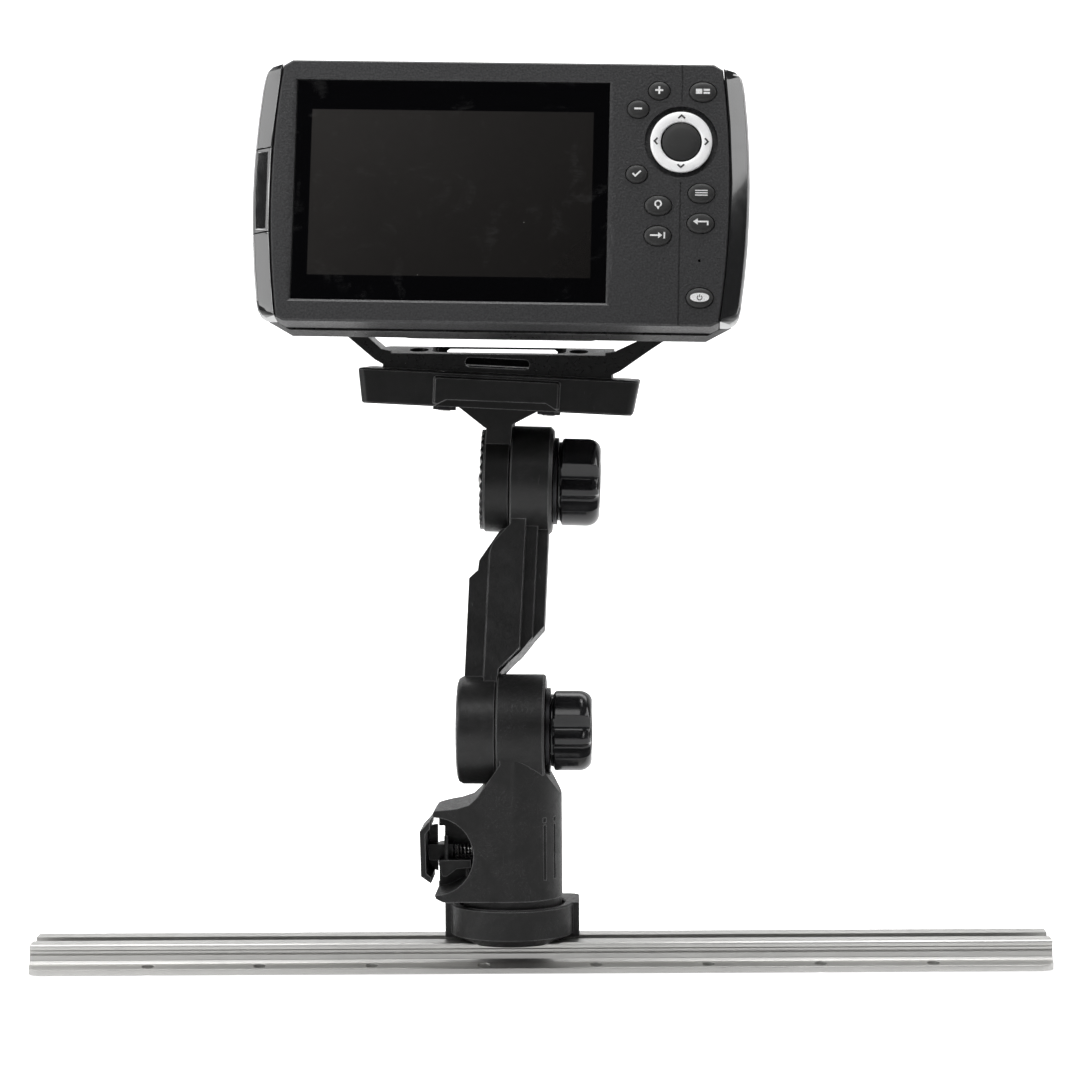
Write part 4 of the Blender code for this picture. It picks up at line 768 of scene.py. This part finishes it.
SOFTBOXES = {           # name: place, target, size, power
    "top_softbox": ((0.0, 0.05, 1.40), (0, 0, 0.15), (1.0, 0.6), 13),
    "front_top_softbox": ((-0.10, -0.95, 1.45), (0, 0, 0.2), (0.9, 0.70), 5),
    "left_softbox": ((-1.25, -0.20, 0.66), (0, 0, 0.28), (0.7, 1.0), 5.2),
    "left_near_softbox": ((-0.45, -0.32, 0.42), (0, 0, 0.28), (0.12, 0.5), 1.2),
    "right_high_softbox": ((1.19, -0.28, 0.82), (0, 0, 0.31), (0.6, 0.30), 1.5),
    "right_low_softbox": ((1.3, 0.25, 0.55), (0, 0, 0.2), (0.25, 0.9), 3),
    "back_softbox": ((0.0, 1.2, 1.5), (0, 1.6, 0.0), (2.6, 0.8), 18),
}
AMBIENT = 0.10          # light from the room on the object, where the backdrop seen directly is 1


def background(tree, colour, strength):
    node = tree.nodes.new("ShaderNodeBackground")
    node.inputs["Color"].default_value = colour
    node.inputs["Strength"].default_value = strength
    return node


def studio():
    """White backdrop for the camera, a dim room for everything else, and the soft boxes."""
    scene = bpy.context.scene
    scene.view_settings.view_transform = "Standard"
    scene.world = bpy.data.worlds.new("studio")
    scene.world.use_nodes = True
    tree = scene.world.node_tree
    tree.nodes.clear()
    output = tree.nodes.new("ShaderNodeOutputWorld")
    mixer, path = tree.nodes.new("ShaderNodeMixShader"), tree.nodes.new("ShaderNodeLightPath")
    room = background(tree, (0.97, 0.98, 1.0, 1), AMBIENT)
    backdrop = background(tree, (1, 1, 1, 1), 1.0)
    tree.links.new(path.outputs["Is Camera Ray"], mixer.inputs[0])
    tree.links.new(room.outputs[0], mixer.inputs[1])
    tree.links.new(backdrop.outputs[0], mixer.inputs[2])
    tree.links.new(mixer.outputs[0], output.inputs[0])
    for name, (place, target, size, power) in SOFTBOXES.items():
        softbox(name, place, target, size, power)


def floor():
    """White paper that sweeps up behind the object; it glows a little so that it stays white."""
    half_width, front, back, below, sweep, top = 3.0, -3.0, 1.6, -0.0004, 0.8, 2.6
    s = Shader("floor_paper")
    grain = s.noise(s.coords(), 0.8, 3.0)
    seen = s.add("LightPath").outputs["Is Camera Ray"]
    s.surface(Base_Color=s.mix(grain, (0.90, 0.90, 0.90), (0.93, 0.93, 0.93)), Roughness=0.9,
              Emission_Color=(1, 1, 1, 1), Emission_Strength=s.ramp(seen, 0.0, 1.0, 0.10, 0.80))
    turns = [math.radians(9 * i) for i in range(1, 11)]
    curve = [(back + sweep * math.sin(a), sweep - sweep * math.cos(a)) for a in turns]
    bm = bmesh.new()
    rows = [[bm.verts.new((x, y, z)) for x in (-half_width, half_width)]
            for y, z in [(front, below), (back, below)] + curve + [(back + sweep, top)]]
    for first, second in zip(rows, rows[1:]):
        bm.faces.new((first[0], first[1], second[1], second[0]))
    mesh = bpy.data.meshes.new("floor")
    bm.to_mesh(mesh)
    bm.free()
    mesh.polygons.foreach_set("use_smooth", [True] * len(mesh.polygons))
    obj = bpy.data.objects.new("floor", mesh)
    mesh.materials.append(s.material)
    bpy.context.scene.collection.objects.link(obj)


# ---------------------------------------------------------------- assembly

def finish_cad():
    """Finishes the CAD nodes that are carried over; returns the finishes that rebuilt pieces share."""
    mount = nylon("nylon_mount", 0.006, 0.40)
    bracket = nylon("nylon_bracket", 0.005, 0.33, grain=0.025, marks=0.72)
    post = nylon("nylon_post", 0.010, 0.44, grain=0.040, marks=0.66, flow=0.5)
    arm = nylon("nylon_arm", 0.015, 0.36, grain=0.035, marks=0.64, flow=0.25)
    shell = nylon("nylon_shell", 0.010, 0.34, HEAD, grain=0.014, marks=0.74)
    steel, brass = metal("stainless", (0.58, 0.57, 0.56)), metal("brass", (0.60, 0.42, 0.18))
    black_steel = metal("black_steel", (0.035, 0.035, 0.037), 0.38)
    trim = gloss_black("trim_gloss", HEAD)
    soft = rubber("seal_rubber", 0.016)
    finishes = {        # node: material, width of its softened edges in millimetres
        "track_rail": (anodised(), 0.22), "track_base": (post, 0.50), "post_body": (post, 0.50),
        "trigger": (mount, 0.30), "lock_catch": (mount, 0.20), "clutch_arm": (arm, 0.45),
        "mount_plate": (mount, 0.35), "gimbal_bracket": (bracket, 0.45),
        "front_bezel": (bezel_plastic(), 0.20), "trim_left": (trim, 0.25), "trim_right": (trim, 0.25),
        "card_door": (trim, 0.25), "screen_glass": (cover_glass(), 0.12), "rear_housing": (shell, 0.30),
        "housing_seal": (soft, 0.0), "detent_ring": (mount, 0.0), "retaining_ring": (steel, 0.15),
        "lcd_panel": (gloss_black("panel", HEAD), 0.0), "keypad_mat": (soft, 0.0),
        "circuit_board": (board_green(), 0.0), "gps_antenna": (satin_white(), 0.2),
        "speaker": (speaker_cone(), 0.0), "gimbal_washer_left": (soft, 0.15),
        "gimbal_washer_right": (soft, 0.15), "lower_knob_insert": (brass, 0.0),
        "upper_knob_insert": (brass, 0.0),
    }
    for name in frame["nodes"]:
        if name.startswith(("t_bolt", "t_nut", "plate_screw", "lower_bolt", "upper_bolt")):
            finishes[name] = (steel, 0.15)
        if name.startswith("plate_nut") or name.endswith("_washer"):
            finishes[name] = (black_steel, 0.15)
    for name, (material, bevel) in finishes.items():
        finish_node(name, material, bevel)
    return steel, brass, soft


def build():
    """Finishes the carried-over nodes and builds the finer pieces."""
    steel, brass, soft = finish_cad()
    key_rubber, white = rubber("key_rubber", 0.013, HEAD), satin_white()
    keypad(key_rubber, legend_white(), legend_dark())
    cursor(key_rubber, white, legend_dark())
    knobs = knob_plastic()
    clutch_knob("lower_knob", LOWER, -170, knobs)
    clutch_knob("upper_knob", UPPER, -168, knobs)
    for name, side in (("gimbal_knob_left", -1), ("gimbal_knob_right", 1)):
        gimbal_knob(name, side, knobs)
    for corner in ("top_left", "top_right", "bottom_left", "bottom_right"):
        rear_screw("housing_screw_" + corner, steel)
    socket("power_socket", 3, soft, brass)
    socket("sonar_socket", 5, soft, brass)
    trigger_spring(steel)


build()
camera()
studio()
floor()
